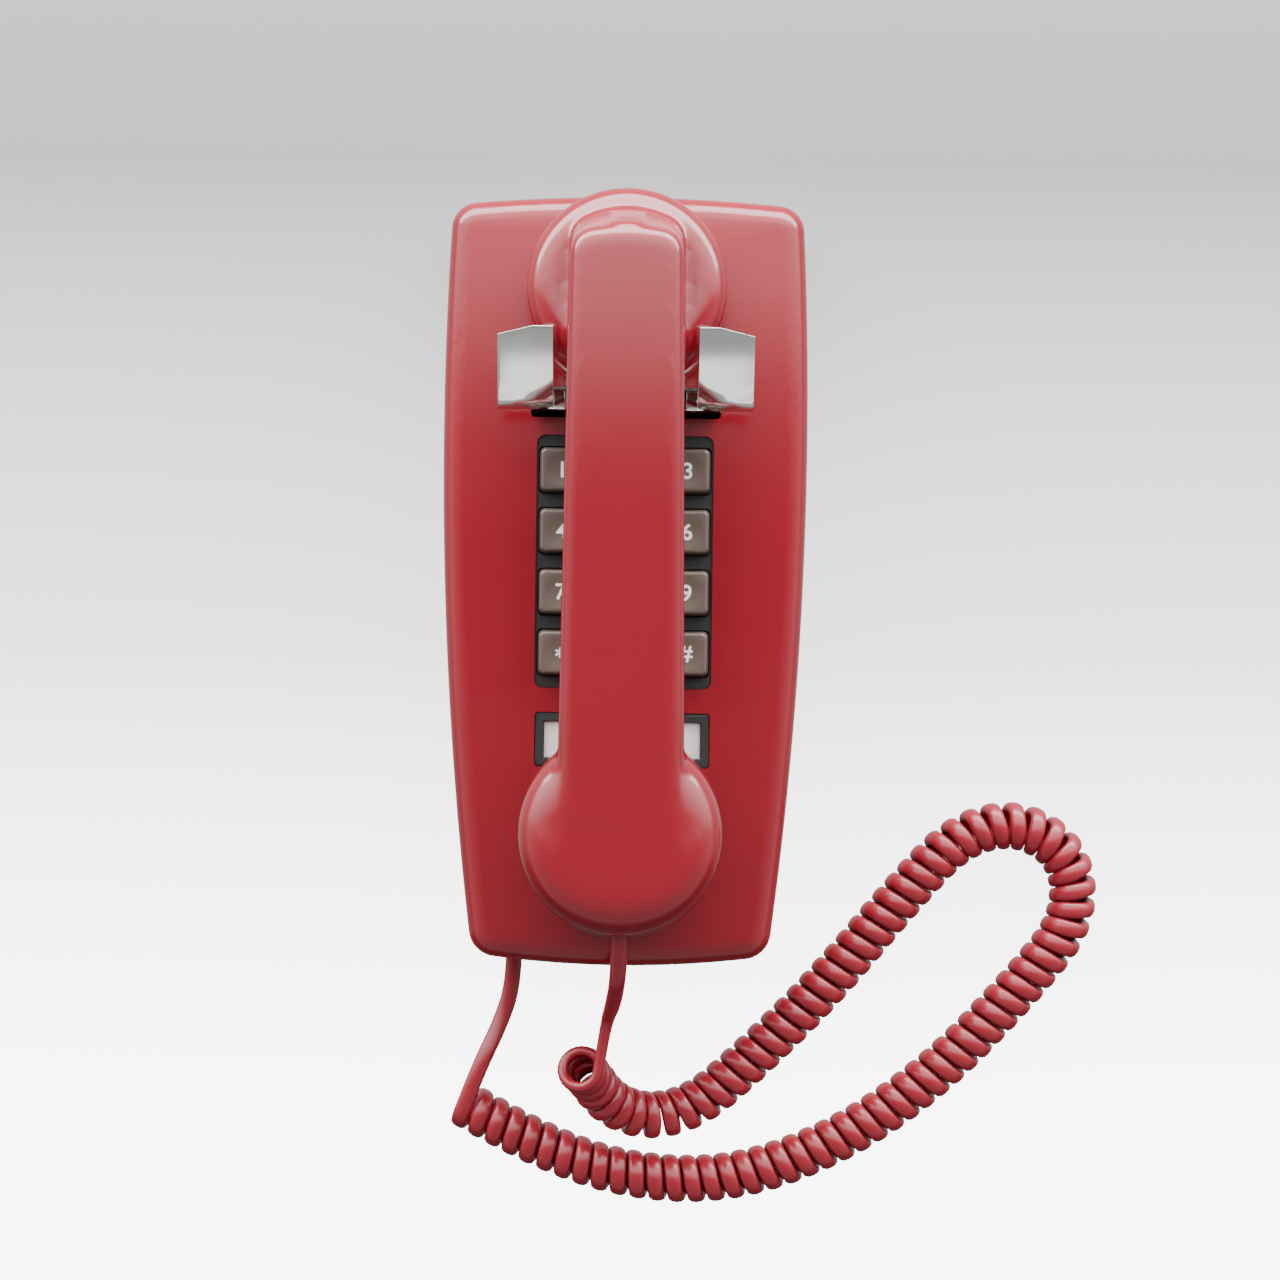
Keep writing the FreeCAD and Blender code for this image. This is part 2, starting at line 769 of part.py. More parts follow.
def make_hook_pin():
    reach = bracket_outer_x
    pin = rod(hook_pin_radius, (-reach, hook_pivot_y, hook_pivot_z), (reach, hook_pivot_y, hook_pivot_z))
    head = rod(hook_pin_head_radius, (reach, hook_pivot_y, hook_pivot_z),
               (reach + hook_pin_head, hook_pivot_y, hook_pivot_z))
    return fuse([pin, head])


def make_hook_springs():
    x = (prong_inner_x + prong_outer_x) / 2
    low, high = plate_thickness + bracket_foot, hook_pivot_z - spring_tab_drop - slide_gap
    return Part.makeCompound([tube(spring_radius, spring_radius - spring_wall, (side * x, spring_y, low),
                                   (side * x, spring_y, high)) for side in (-1, 1)])


plunger_tip_y = prong_y + crossbar_radius + slide_gap


def make_switch_block():
    low_y = bracket_tie_y - switch_overhang
    block = box((-switch_x / 2, low_y, bracket_tie_top + seat_gap),
                (switch_x / 2, low_y + switch_y, bracket_tie_top + seat_gap + switch_z))
    bore = rod(plunger_radius + pin_gap, (0, low_y - 1, crossbar_z), (0, low_y + switch_y + 1, crossbar_z))
    return block.cut(bore)


def make_switch_plunger():
    y, z = plunger_tip_y, crossbar_z
    head = rod(plunger_head_radius, (0, y, z), (0, y + plunger_head, z))
    stem = rod(plunger_radius, (0, y, z), (0, y + plunger_length, z))
    return fuse([head, stem])


# Network board

board_top = board_z + seat_gap + board_thickness


def make_network_board():
    board = box((-board_x / 2, board_low_y, board_z + seat_gap), (board_x / 2, board_high_y, board_top))
    radius = board_screw_radius + seat_gap
    holes = [rod(radius, (x, y, 0), (x, y, housing_depth)) for x, y in board_post_places()]
    return board.cut(fuse_all(holes))


def make_board_screws():
    screws = []
    head_low = board_top + seat_gap
    shank_low = board_z - board_screw_length + 1
    for x, y in board_post_places():
        head = rod(board_screw_head_radius, (x, y, head_low), (x, y, head_low + board_screw_head))
        shank = rod(board_screw_radius - pin_gap, (x, y, shank_low), (x, y, head_low + board_screw_head / 2))
        screws.append(fuse([head, shank]))
    return Part.makeCompound(screws)


def make_transformer():
    size_x, size_y, size_z = transformer_size
    low = board_top + seat_gap
    block = rounded_block(size_x, size_y, 1.5, low, low + size_z, transformer_at)
    core = rounded_block(size_x + 4, size_y * 0.55, 0, low, low + size_z * 0.8, transformer_at)
    return fuse([block, core])


def make_capacitor():
    x, y = capacitor_at
    z = board_top + seat_gap + capacitor_radius
    return rod(capacitor_radius, (x - capacitor_length / 2, y, z), (x + capacitor_length / 2, y, z))


def make_terminals():
    low = board_top + seat_gap
    screws = []
    for index in range(terminal_rows):
        x = (index - (terminal_rows - 1) / 2) * terminal_pitch
        head = rod(terminal_radius, (x, terminal_y, low), (x, terminal_y, low + terminal_height))
        slot = box((x - terminal_radius, terminal_y - 0.4, low + terminal_height - 1),
                   (x + terminal_radius, terminal_y + 0.4, low + terminal_height + 1))
        screws.append(head.cut(slot))
    return Part.makeCompound(screws)


# Ringer

def make_ringer_frame():
    top = plate_thickness + ringer_plate_thickness
    plate = box((-ringer_plate_x / 2, ringer_plate_low_y, plate_thickness),
                (ringer_plate_x / 2, ringer_plate_high_y, top))
    parts = [plate]
    crown = gong_rim_z + gong_height - gong_wall - seat_gap
    arm_x = coil_length / 2 + seat_gap
    for side in (-1, 1):
        x = side * gong_x
        parts.append(rod(gong_post_radius, (x, gong_y, plate_thickness), (x, gong_y, crown)))
        parts.append(side_box(side, (arm_x, coil_y - coil_arm_half_y, plate_thickness),
                              (arm_x + coil_arm, coil_y + coil_arm_half_y, coil_z + coil_arm_rise)))
    y, top_z = clapper_pivot_y, clapper_z + clapper_thickness + clapper_post_proud
    parts.append(rod(clapper_shoulder_radius, (0, y, plate_thickness), (0, y, clapper_z - slide_gap)))
    parts.append(rod(clapper_post_radius, (0, y, plate_thickness), (0, y, top_z)))
    frame = fuse(parts)
    radius, low = gong_screw_radius + pin_gap, crown - gong_screw_length
    bores = [rod(radius, (x, gong_y, low), (x, gong_y, crown + 1)) for x in (-gong_x, gong_x)]
    return frame.cut(fuse_all(bores))


def make_gong(side):
    """A bell with a domed top and an open rim towards the plate."""
    centre = (side * gong_x, gong_y)
    outer = gong_shell(gong_radius, gong_height)
    inner = gong_shell(gong_radius - gong_wall, gong_height - gong_wall)
    bell = outer.cut(inner).cut(rod(gong_hole_radius, (0, 0, 0), (0, 0, gong_height + 1)))
    bell.translate(Vector(centre[0], centre[1], gong_rim_z))
    return bell


def gong_shell(radius, height):
    """A solid dome: an upright skirt that turns over by an arc to a flat crown."""
    skirt, crown = height * 0.35, radius * 0.4
    points = [Vector(0, 0, 0), Vector(radius, 0, 0), Vector(radius, 0, skirt), Vector(crown, 0, height),
              Vector(0, 0, height)]
    turn = Vector(radius - (radius - crown) * 0.22, 0, skirt + (height - skirt) * 0.62)
    edges = [line(points[0], points[1]), line(points[1], points[2]), arc(points[2], turn, points[3]),
             line(points[3], points[4]), line(points[4], points[0])]
    return revolved(edges)


def make_gong_screws():
    screws = []
    low = gong_rim_z + gong_height + seat_gap
    top = low + gong_screw_head
    for x in (-gong_x, gong_x):
        head = rod(gong_screw_head_radius, (x, gong_y, low), (x, gong_y, top))
        shank = rod(gong_screw_radius, (x, gong_y, top - gong_screw_length), (x, gong_y, low + 1))
        slot = rounded_block(3 * gong_screw_head_radius, cover_screw_slot, 0, top - cover_screw_slot, top + 1,
                             (x, gong_y))
        screws.append(fuse([head, shank]).cut(slot))
    return Part.makeCompound(screws)


def make_ringer_coil():
    half = coil_length / 2
    inner = half - coil_flange
    parts = [rod(coil_core_radius, (-half, coil_y, coil_z), (half, coil_y, coil_z))]
    for side in (-1, 1):
        parts.append(rod(coil_flange_radius, (side * half, coil_y, coil_z), (side * inner, coil_y, coil_z)))
    return fuse(parts)


def make_clapper():
    """Armature over the coil, hub on its post, arm and ball between the gongs."""
    low, pivot_y = clapper_z, clapper_pivot_y
    arm_top, ball_y, far_y = low + clapper_arm_width, pivot_y + clapper_arm, pivot_y - armature_reach
    hub = rod(clapper_hub_radius, (0, pivot_y, low), (0, pivot_y, low + clapper_thickness))
    arm = box((-clapper_arm_width / 2, pivot_y, low), (clapper_arm_width / 2, ball_y, arm_top))
    centre = Vector(0, ball_y, low + clapper_thickness / 2)
    ball = Part.makeSphere(clapper_ball_radius, centre, Z_AXIS, -clapper_ball_flat, clapper_ball_flat, 360)
    armature = box((-armature_half_x, far_y, low), (armature_half_x, far_y + armature_y, arm_top))
    link = box((-clapper_post_radius, far_y + armature_y / 2, low), (clapper_post_radius, pivot_y, arm_top))
    bore = rod(clapper_post_radius + pin_gap, (0, pivot_y, 0), (0, pivot_y, housing_depth))
    return fuse([hub, arm, ball, armature, link]).cut(bore)


def make_volume_wheel():
    """Thumb wheel with a toothed edge."""
    wheel = rod(wheel_radius, (wheel_x, wheel_y, wheel_z), (wheel_x, wheel_y, wheel_z + wheel_thickness))
    cuts = [rod(wheel_axle_radius + pin_gap, (wheel_x, wheel_y, 0), (wheel_x, wheel_y, 20))]
    ring = wheel_radius + wheel_groove / 3
    for index in range(wheel_teeth):
        angle = 2 * math.pi * (index + 0.5) / wheel_teeth
        x, y = wheel_x + ring * math.cos(angle), wheel_y + ring * math.sin(angle)
        cuts.append(rod(wheel_groove, (x, y, wheel_z - 1), (x, y, wheel_z + wheel_thickness + 1)))
    return wheel.cut(fuse_all(cuts))


# Wall plug

def make_wall_plug():
    low, high = slide_gap, slide_gap + plug_height
    body = box((-plug_x / 2, -plug_y / 2, low), (plug_x / 2, plug_y / 2, high))
    slots = []
    for index in range(wall_plug_blades):
        x = (index - (wall_plug_blades - 1) / 2) * blade_pitch
        slots.append(box((x - blade_half, -plug_y / 2 - 1, low - 1),
                         (x + blade_half, -plug_y / 2 + wall_plug_slot_y, low + wall_plug_slot_z)))
    return body.cut(fuse_all(slots))


def make_plug_carrier():
    low = plate_thickness
    high = low + plug_carrier_height
    block = rounded_block(plug_carrier_x, plug_carrier_y, 0, low, high)
    recess = rounded_block(plug_window_x, plug_window_y, 0, 0, high - plug_carrier_floor)
    grip = rounded_block(plug_x + 2 * seat_gap, plug_y + 2 * seat_gap, 0, 0, high + 1)
    return block.cut(recess).cut(grip)


def make_line_wires():
    """Four wires from the wall plug up to the network board."""
    low = slide_gap + plug_height
    wires = []
    for index in range(line_wire_count):
        x = (index - (line_wire_count - 1) / 2) * line_wire_pitch
        wires.append(rod(line_wire_radius, (x, 0, low), (x, 0, board_z + seat_gap)))
    return Part.makeCompound(wires)


# Cord jack at the bottom edge

def bottom_edge_y(x):
    """The housing's bottom edge at a place across it."""
    return housing_low_y + bottom_bow * (2 * x / width_bottom) ** 2


base_plug_face_y = bottom_edge_y(base_jack_x) + slide_gap


def make_base_jack():
    low_y, high_y = bottom_edge_y(base_jack_x) + base_jack_setback, base_jack_back_y
    block = box((base_jack_x - base_jack_half_x, low_y, base_jack_low_z),
                (base_jack_x + base_jack_half_x, high_y, base_jack_high_z))
    half_x = cord_plug_x / 2 + seat_gap
    half_z = cord_plug_height / 2 + seat_gap
    end_y = base_plug_face_y + cord_plug_length + seat_gap
    socket = box((base_jack_x - half_x, low_y - 1, base_plug_centre_z - half_z),
                 (base_jack_x + half_x, end_y, base_plug_centre_z + half_z))
    foot = box((base_jack_x - base_jack_half_x, low_y + 1, plate_thickness),
               (base_jack_x + base_jack_half_x, high_y, base_jack_low_z + 0.5))
    return fuse([block, foot]).cut(socket)


def plug_body(length):
    """A cord plug along -Y from the origin, cord end at y = 0, blades at the far end."""
    half_x, half_z = cord_plug_x / 2, cord_plug_height / 2
    body = box((-half_x, 0, -half_z), (half_x, length, half_z))
    cord_end = [e for e in body.Edges if max(v.Point.y for v in e.Vertexes) < 0.01]
    body = body.makeChamfer(cord_plug_chamfer, cord_end)
    slots = []
    for index in range(cord_plug_blades):
        x = (index - (cord_plug_blades - 1) / 2) * blade_pitch
        slots.append(box((x - blade_half, length - cord_plug_slot_y, half_z - cord_plug_slot_z),
                         (x + blade_half, length + 1, half_z + 1)))
    return body.cut(fuse_all(slots))


def make_base_plug():
    plug = plug_body(cord_plug_length)
    plug.translate(Vector(base_jack_x, base_plug_face_y, base_plug_centre_z))
    return plug


# Handset

def receiver_frame():
    """Placement of the receiver's cap: its face centre and its tilt."""
    tilt = math.radians(receiver_tilt)
    rim_y = receiver_y + cap_radius * math.cos(tilt)
    face = Vector(0, receiver_y, front_z(rim_y) + rest_gap + cap_radius * math.sin(tilt))
    return FreeCAD.Placement(face, FreeCAD.Rotation(X_AXIS, -receiver_tilt))


def transmitter_frame():
    """Placement of the transmitter's cap: its face centre and its tilt."""
    tilt = math.radians(transmitter_tilt)
    rim_y = transmitter_y - cap_radius * math.cos(tilt)
    face = Vector(0, transmitter_y, front_z(rim_y) + rest_gap + cap_radius * math.sin(tilt))
    return FreeCAD.Placement(face, FreeCAD.Rotation(X_AXIS, transmitter_tilt))


def placed(shape, frame):
    """A copy of a shape moved by a placement."""
    moved = shape.copy()
    moved.Placement = frame.multiply(moved.Placement)
    return moved


def cup_solid():
    """The round end of the handset: a drum with a rounded shoulder and a dished top."""
    shoulder_z = cup_height - cup_shoulder
    inner_r = cup_radius - cup_shoulder
    low = cap_height + slide_gap
    through = Vector(inner_r + cup_shoulder * half_root, 0, shoulder_z + cup_shoulder * half_root)
    points = [Vector(0, 0, low), Vector(cup_radius, 0, low), Vector(cup_radius, 0, shoulder_z),
              Vector(inner_r, 0, cup_height), Vector(0, 0, cup_height - cup_dish)]
    edges = [line(points[0], points[1]), line(points[1], points[2]), arc(points[2], through, points[3]),
             line(points[3], points[4]), line(points[4], points[0])]
    return revolved(edges)


def dome_solid():
    """The transmitter's end: a drum that turns over in a half-ellipse up to the handle's back."""
    low = cap_height + slide_gap
    base, crown = Vector(0, 0, dome_base), Vector(0, 0, dome_base + dome_rise)
    points = [Vector(0, 0, low), Vector(cup_radius, 0, low), Vector(cup_radius, 0, dome_base)]
    turn = Part.ArcOfEllipse(Part.Ellipse(crown, points[2], base), 0, math.pi / 2).toShape()
    edges = [line(points[0], points[1]), line(points[1], points[2]), turn, line(crown, points[0])]
    return revolved(edges)


def neck_solid():
    """The ring that the cap is screwed on."""
    return tube(cup_neck_radius, cup_bore, (0, 0, cup_neck_bottom), (0, 0, cap_height + cup_neck_root))


def cup_cavity():
    return rod(cup_bore, (0, 0, cup_neck_bottom - 1), (0, 0, cup_bore_top))


def handle_solid():
    """The straight handle with its rounded ends, before the cups join it."""
    back, low = handle_back_z, handle_back_z - handle_thickness
    sunk, bend = handle_sunk_z(), grip_corner_radius
    high_y, low_y = grip_high_y, grip_low_y
    block = handle_block(back, sunk)
    crest = [e for e in block.Edges if min(v.Point.z for v in e.Vertexes) > back - 0.01]
    block = block.makeFillet(handle_edge_radius, crest)
    turn = bend * half_root
    outline = [
        (line, (high_y, sunk - 1), (high_y, low - bend)),
        (arc, (high_y, low - bend), (high_y - bend + turn, low - bend + turn), (high_y - bend, low)),
        (line, (high_y - bend, low), (low_y + bend, low)),
        (arc, (low_y + bend, low), (low_y + bend - turn, low - bend + turn), (low_y, low - bend)),
        (line, (low_y, low - bend), (low_y, sunk - 1)),
        (line, (low_y, sunk - 1), (high_y, sunk - 1)),
    ]
    edges = [kind(*[Vector(0, y, z) for y, z in places]) for kind, *places in outline]
    half = 2 * handle_half_x_bottom
    grip = Part.Face(Part.Wire(edges)).extrude(Vector(2 * half, 0, 0))
    grip.translate(Vector(-half, 0, 0))
    handle = block.cut(grip)
    under = [e for e in handle.Edges if is_grip_edge(e)]
    return handle.makeFillet(grip_edge_radius, under)


def handle_outline(crest_y, crest_bow, z):
    """The handle's outline from behind at one height: nearly straight sides and bowed ends."""
    top_x, low_x, low_y = handle_half_x_top, handle_half_x_bottom, handle_low_y
    corners = [Vector(-top_x, crest_y - crest_bow, z), Vector(top_x, crest_y - crest_bow, z),
               Vector(low_x, low_y + handle_low_bow, z), Vector(-low_x, low_y + handle_low_bow, z)]
    return Part.Wire([arc(corners[0], Vector(0, crest_y, z), corners[1]), line(corners[1], corners[2]),
                      arc(corners[2], Vector(0, low_y, z), corners[3]), line(corners[3], corners[0])])


def handle_block(high_z, low_z):
    """The handle as a full block, with a sloping end at the receiver."""
    crest = handle_outline(handle_crest_y, handle_crest_bow, high_z)
    foot = handle_outline(handle_foot_y, handle_foot_bow, low_z)
    block = Part.makeLoft([foot, crest], True, True)
    rising = [e for e in block.Edges if abs(e.Vertexes[0].Point.z - e.Vertexes[-1].Point.z) > 1]
    return block.makeFillet(handle_corner_radius, rising)


def handle_sunk_z():
    """Height down to which the handle reaches into both cups."""
    return receiver_frame().Base.z + cap_height + handle_sink


def is_grip_edge(edge):
    """True for the edges along both sides of the grip's underside."""
    low = handle_back_z - handle_thickness
    ends = [v.Point for v in edge.Vertexes]
    across = abs(ends[0].x - ends[1].x)
    inside = all(grip_low_y - 0.1 < p.y < grip_high_y + 0.1 for p in ends)
    return inside and across < handle_half_x_top and handle_sunk_z() + 1 < max(p.z for p in ends) < low + 0.1


def wire_places():
    """Where the wires turn from the handle down into each cup."""
    return receiver_y - handle_bore_inset, transmitter_y + handle_bore_inset


def make_handset_shell():
    receiver, transmitter = receiver_frame(), transmitter_frame()
    body = fuse([handle_solid(), placed(cup_solid(), receiver), placed(dome_solid(), transmitter)])
    body = body.cut(fuse_all([placed(cup_cavity(), receiver), placed(cup_cavity(), transmitter)]))
    body = fuse([body, placed(neck_solid(), receiver), placed(neck_solid(), transmitter)])
    bore_z = handle_back_z - handle_bore_depth
    high_y, low_y = wire_places()
    bores = [rod(handle_bore_radius, (0, high_y, bore_z), (0, low_y, bore_z))]
    for y in (high_y, low_y):
        bores.append(rod(handle_bore_radius, (0, y, handle_back_z - handle_bore_fall), (0, y, bore_z)))
    body = body.cut(fuse_all(bores))
    half_x = cord_plug_x / 2 + plug_hole_gap
    half_h = cord_plug_height / 2 + plug_hole_gap
    hole = box((-half_x, -cup_radius - 1, handset_plug_centre - half_h),
               (half_x, -cup_bore + 2, handset_plug_centre + half_h))
    recess = rod(cord_hole_radius, (0, -cup_radius - 1, handset_plug_centre),
                 (0, -cup_radius + cord_hole_depth, handset_plug_centre))
    return body.cut(fuse_all([placed(hole, transmitter), placed(recess, transmitter)]))


def cap_solid(hole_rings):
    """A screwed cap: a skirt, a gently domed face and its sound holes."""
    inner_r, bevel = cup_neck_radius + seat_gap, cap_bevel
    places = [(0, 0), (cap_radius - cap_edge, 0), (cap_radius, cap_edge), (cap_radius, cap_height - bevel),
              (cap_radius - bevel, cap_height), (inner_r, cap_height), (inner_r, cap_wall), (0, cap_wall)]
    outline = [Vector(r, 0, z) for r, z in places]
    turn = Vector(cap_radius - cap_edge + cap_edge * half_root, 0, cap_edge - cap_edge * half_root)
    edges = [line(outline[0], outline[1]), arc(outline[1], turn, outline[2])]
    edges += [line(outline[i], outline[(i + 1) % 8]) for i in range(2, 8)]
    cap = revolved(edges)
    cuts = []
    for ring in range(hole_rings):
        for index in range(max(6 * ring, 1)):
            angle = 2 * math.pi * index / max(6 * ring, 1)
            x, y = ring * sound_hole_pitch * math.cos(angle), ring * sound_hole_pitch * math.sin(angle)
            cuts.append(rod(sound_hole_radius, (x, y, -1), (x, y, cap_wall + 1)))
    return cap.cut(fuse_all(cuts))


def make_receiver_cap():
    return placed(cap_solid(receiver_hole_rings), receiver_frame())


def make_transmitter_cap():
    return placed(cap_solid(transmitter_hole_rings), transmitter_frame())


def unit_solid():
    """A receiver or transmitter capsule: a wide flange and a narrower back."""
    low = cap_wall + seat_gap
    flange = rod(unit_flange_radius, (0, 0, low), (0, 0, low + unit_flange))
    back = rod(unit_body_radius, (0, 0, low), (0, 0, low + unit_depth))
    return fuse([flange, back])


def make_transmitter_contacts():
    low = cap_wall + 2 * seat_gap + unit_depth
    disc = tube(contact_radius, contact_hole_radius, (0, 0, low), (0, 0, low + contact_height))
    return placed(disc, transmitter_frame())


def make_handset_jack():
    half_x = handset_jack_half_x
    body = box((-half_x, -cup_bore, handset_jack_low), (half_x, -handset_jack_inner, handset_jack_high))
    body = body.common(rod(cup_bore - seat_gap, (0, 0, 0), (0, 0, cup_height)))
    plug_x, plug_h = cord_plug_x / 2 + seat_gap, cord_plug_height / 2 + seat_gap
    end_y = -cup_radius + cord_hole_depth + cord_plug_length + seat_gap
    socket = box((-plug_x, -cup_bore - 1, handset_plug_centre - plug_h),
                 (plug_x, end_y, handset_plug_centre + plug_h))
    return placed(body.cut(socket), transmitter_frame())


def make_handset_plug():
    plug = plug_body(cord_plug_length)
    plug.translate(Vector(0, -cup_radius + cord_hole_depth, handset_plug_centre))
    return placed(plug, transmitter_frame())


def make_handset_wires():
    """Bundle of wires from the transmitter's cup through the handle to the receiver's."""
    bore_z = handle_back_z - handle_bore_depth
    high_y, low_y = wire_places()
    low_z = handle_back_z - wire_bundle_drop
    places = ((high_y, low_z), (high_y, bore_z), (low_y, bore_z), (low_y, low_z))
    points = [Vector(0, y, z) for y, z in places]
    return bent_tube(points, wire_bundle_radius, [wire_bundle_bend, wire_bundle_bend])


# Cord

def bent_tube(points, radius, bends):
    """A round tube along straight runs joined by tangent arcs of the given radii."""
    edges, position, swept = [], points[0], 0.0
    for index in range(1, len(points) - 1):
        before = (points[index - 1] - points[index]).normalize()
        after = (points[index + 1] - points[index]).normalize()
        turn = math.pi - before.getAngle(after)
        reach = bends[index - 1] * math.tan(turn / 2)
        start, end = points[index] + before * reach, points[index] + after * reach
        bisector = (before + after).normalize()
        centre_gap = bends[index - 1] / math.cos(turn / 2)
        middle = points[index] + bisector * (centre_gap - bends[index - 1])
        edges += [line(position, start), arc(start, middle, end)]
        swept += (start - position).Length + bends[index - 1] * turn
        position = end
    edges.append(line(position, points[-1]))
    swept += (points[-1] - position).Length
    profile = Part.Wire(Part.Circle(points[0], points[1] - points[0], radius).toShape())
    solid = Part.Wire(edges).makePipeShell([profile], True, False)
    expected = math.pi * radius ** 2 * swept
    print("tube length %.1f mm, volume %.4f of section times length" % (swept, solid.Volume / expected))
    return solid


def run_bends(points):
    """For each corner, the largest arc that its two runs allow."""
    bends = []
    for index in range(1, len(points) - 1):
        before, after = points[index - 1] - points[index], points[index + 1] - points[index]
        turn = math.pi - before.getAngle(after)
        bends.append(0.45 * min(before.Length, after.Length) / math.tan(turn / 2))
    return bends


def coil_axis_curve():
    """The coil's middle line: a quadratic spline with the axis points as its poles."""
    poles = [Vector(*p) for p in COIL_AXIS]
    spans = len(poles) - 2
    curve = Part.BSplineCurve()
    curve.buildFromPolesMultsKnots(poles, [3] + [1] * (spans - 1) + [3], list(range(spans + 1)), False, 2)
    return curve


def coil_samples(per_turn):
    """Points and directions along the wire of the coil, a fixed number to each turn."""
    curve = coil_axis_curve()
    length = curve.length()
    count = 2 * int(round(coil_turns * per_turn / 2))
    step = length / count
    rate = 2 * math.pi * coil_turns / length
    frames = []
    normal = Z_AXIS
    for index in range(count + 1):
        along = min(index * step, length * (1 - 1e-9))
        parameter = curve.parameterAtDistance(along, curve.FirstParameter)
        tangent = curve.tangent(parameter)[0]
        normal = (normal - tangent * normal.dot(tangent)).normalize()
        frames.append((curve.value(parameter), tangent, normal, along))
    wire = []
    for index, (centre, tangent, normal, along) in enumerate(frames):
        side = tangent.cross(normal)
        before, after = frames[max(index - 1, 0)], frames[min(index + 1, count)]
        bend = (after[1] - before[1]) * (1 / (after[3] - before[3]))
        angle = coil_start_angle + rate * along
        out = normal * math.cos(angle) + side * math.sin(angle)
        turn = side * math.cos(angle) - normal * math.sin(angle)
        direction = tangent * (1 - coil_radius * bend.dot(out)) + turn * (coil_radius * rate)
        wire.append((centre + out * coil_radius, direction.normalize()))
    return wire


def biarc(start, start_direction, end, end_direction):
    """Two arcs that join two points and keep both directions."""
    chord = end - start
    total = start_direction + end_direction
    quad = 2 * (1 - start_direction.dot(end_direction))
    half = chord.dot(total)
    reach = (-half + math.sqrt(half * half + quad * chord.dot(chord))) / quad
    first_corner, second_corner = start + start_direction * reach, end - end_direction * reach
    joint = (first_corner + second_corner) * 0.5
    return [corner_arc(start, first_corner, joint), corner_arc(joint, second_corner, end)]


def corner_arc(start, corner, end):
    """The arc that touches two equal tangents from a corner."""
    middle = (start + end) * 0.5
    slope = (corner - middle).Length / ((end - start).Length / 2)
    angle = math.atan(slope)
    return arc(start, middle + (corner - middle) * (math.tan(angle / 2) / slope), end)


def coil_wire_ends():
    """Where the coil's wire leaves it at each end, one diameter along its tangent."""
    wire = coil_samples(16)
    first, last = wire[0], wire[-1]
    return (first[0] - first[1] * cord_diameter, first[1]), (last[0] + last[1] * cord_diameter, last[1])


def make_cord_coil():
    """The curly part: one unbroken tube wound along the coil's axis."""
    turns = coil_samples(8)[::2]
    (start, _), (end, _) = coil_wire_ends()
    edges = [line(start, turns[0][0])]
    for (a, a_direction), (b, b_direction) in zip(turns, turns[1:]):
        edges += biarc(a, a_direction, b, b_direction)
    edges.append(line(turns[-1][0], end))
    profile = Part.Wire(Part.Circle(start, turns[0][0] - start, cord_diameter / 2).toShape())
    path = Part.Wire(edges)
    solid = path.makePipeShell([profile], True, False)
    section = math.pi * cord_diameter ** 2 / 4
    print("coil: %.1f turns, wire %.0f mm, volume %.4f of section times length, valid %s"
          % (coil_turns, path.Length, solid.Volume / (section * path.Length), solid.isValid()))
    print_least_gap()
    return solid


def print_least_gap():
    """Least gap between neighbouring turns, measured on points of the wire."""
    per_turn = 24
    points = [p for p, _ in coil_samples(per_turn)]
    least = None
    for index, point in enumerate(points):
        for other in points[index + per_turn // 2:index + 3 * per_turn]:
            gap = (point - other).Length - cord_diameter
            least = gap if least is None else min(least, gap)
    far = None
    for index in range(0, len(points), 6):
        for other in range(index + 4 * per_turn, len(points), 6):
            gap = (points[index] - points[other]).Length - cord_diameter
            far = gap if far is None else min(far, gap)
    lowest = min(p.z for p in points) - cord_diameter / 2
    print("coil least gap to itself %.2f mm beside, %.2f mm across, lowest %.2f" % (least, far, lowest))


def base_lead_points():
    """From the base plug straight out, and along the wire's own direction into the coil."""
    (start, heading), _ = coil_wire_ends()
    exit_point = Vector(base_jack_x, base_plug_face_y, base_plug_centre_z)
    first, last = exit_point - Vector(0, base_lead_run, 0), start - heading * coil_lead_run
    return [exit_point, first] + [Vector(*p) for p in BASE_LEAD] + [last, start]


def handset_lead_points():
    """From the coil along the wire's own direction, and straight into the handset's plug."""
    _, (end, heading) = coil_wire_ends()
    frame = transmitter_frame()
    plug_y = -cup_radius + cord_hole_depth
    exit_point = frame.multVec(Vector(0, plug_y, handset_plug_centre))
    last = frame.multVec(Vector(0, plug_y - handset_lead_run, handset_plug_centre))
    first = end + heading * coil_lead_run
    return [end, first] + [Vector(*p) for p in HANDSET_LEAD] + [last, exit_point]


def make_lead(points):
    bends = run_bends(points)
    print("lead radii " + " ".join("%.1f" % b for b in bends))
    print("lead points " + " ".join("(%.1f, %.1f, %.1f)" % (p.x, p.y, p.z) for p in points))
    return bent_tube(points, cord_diameter / 2, bends)


# Every node and its maker

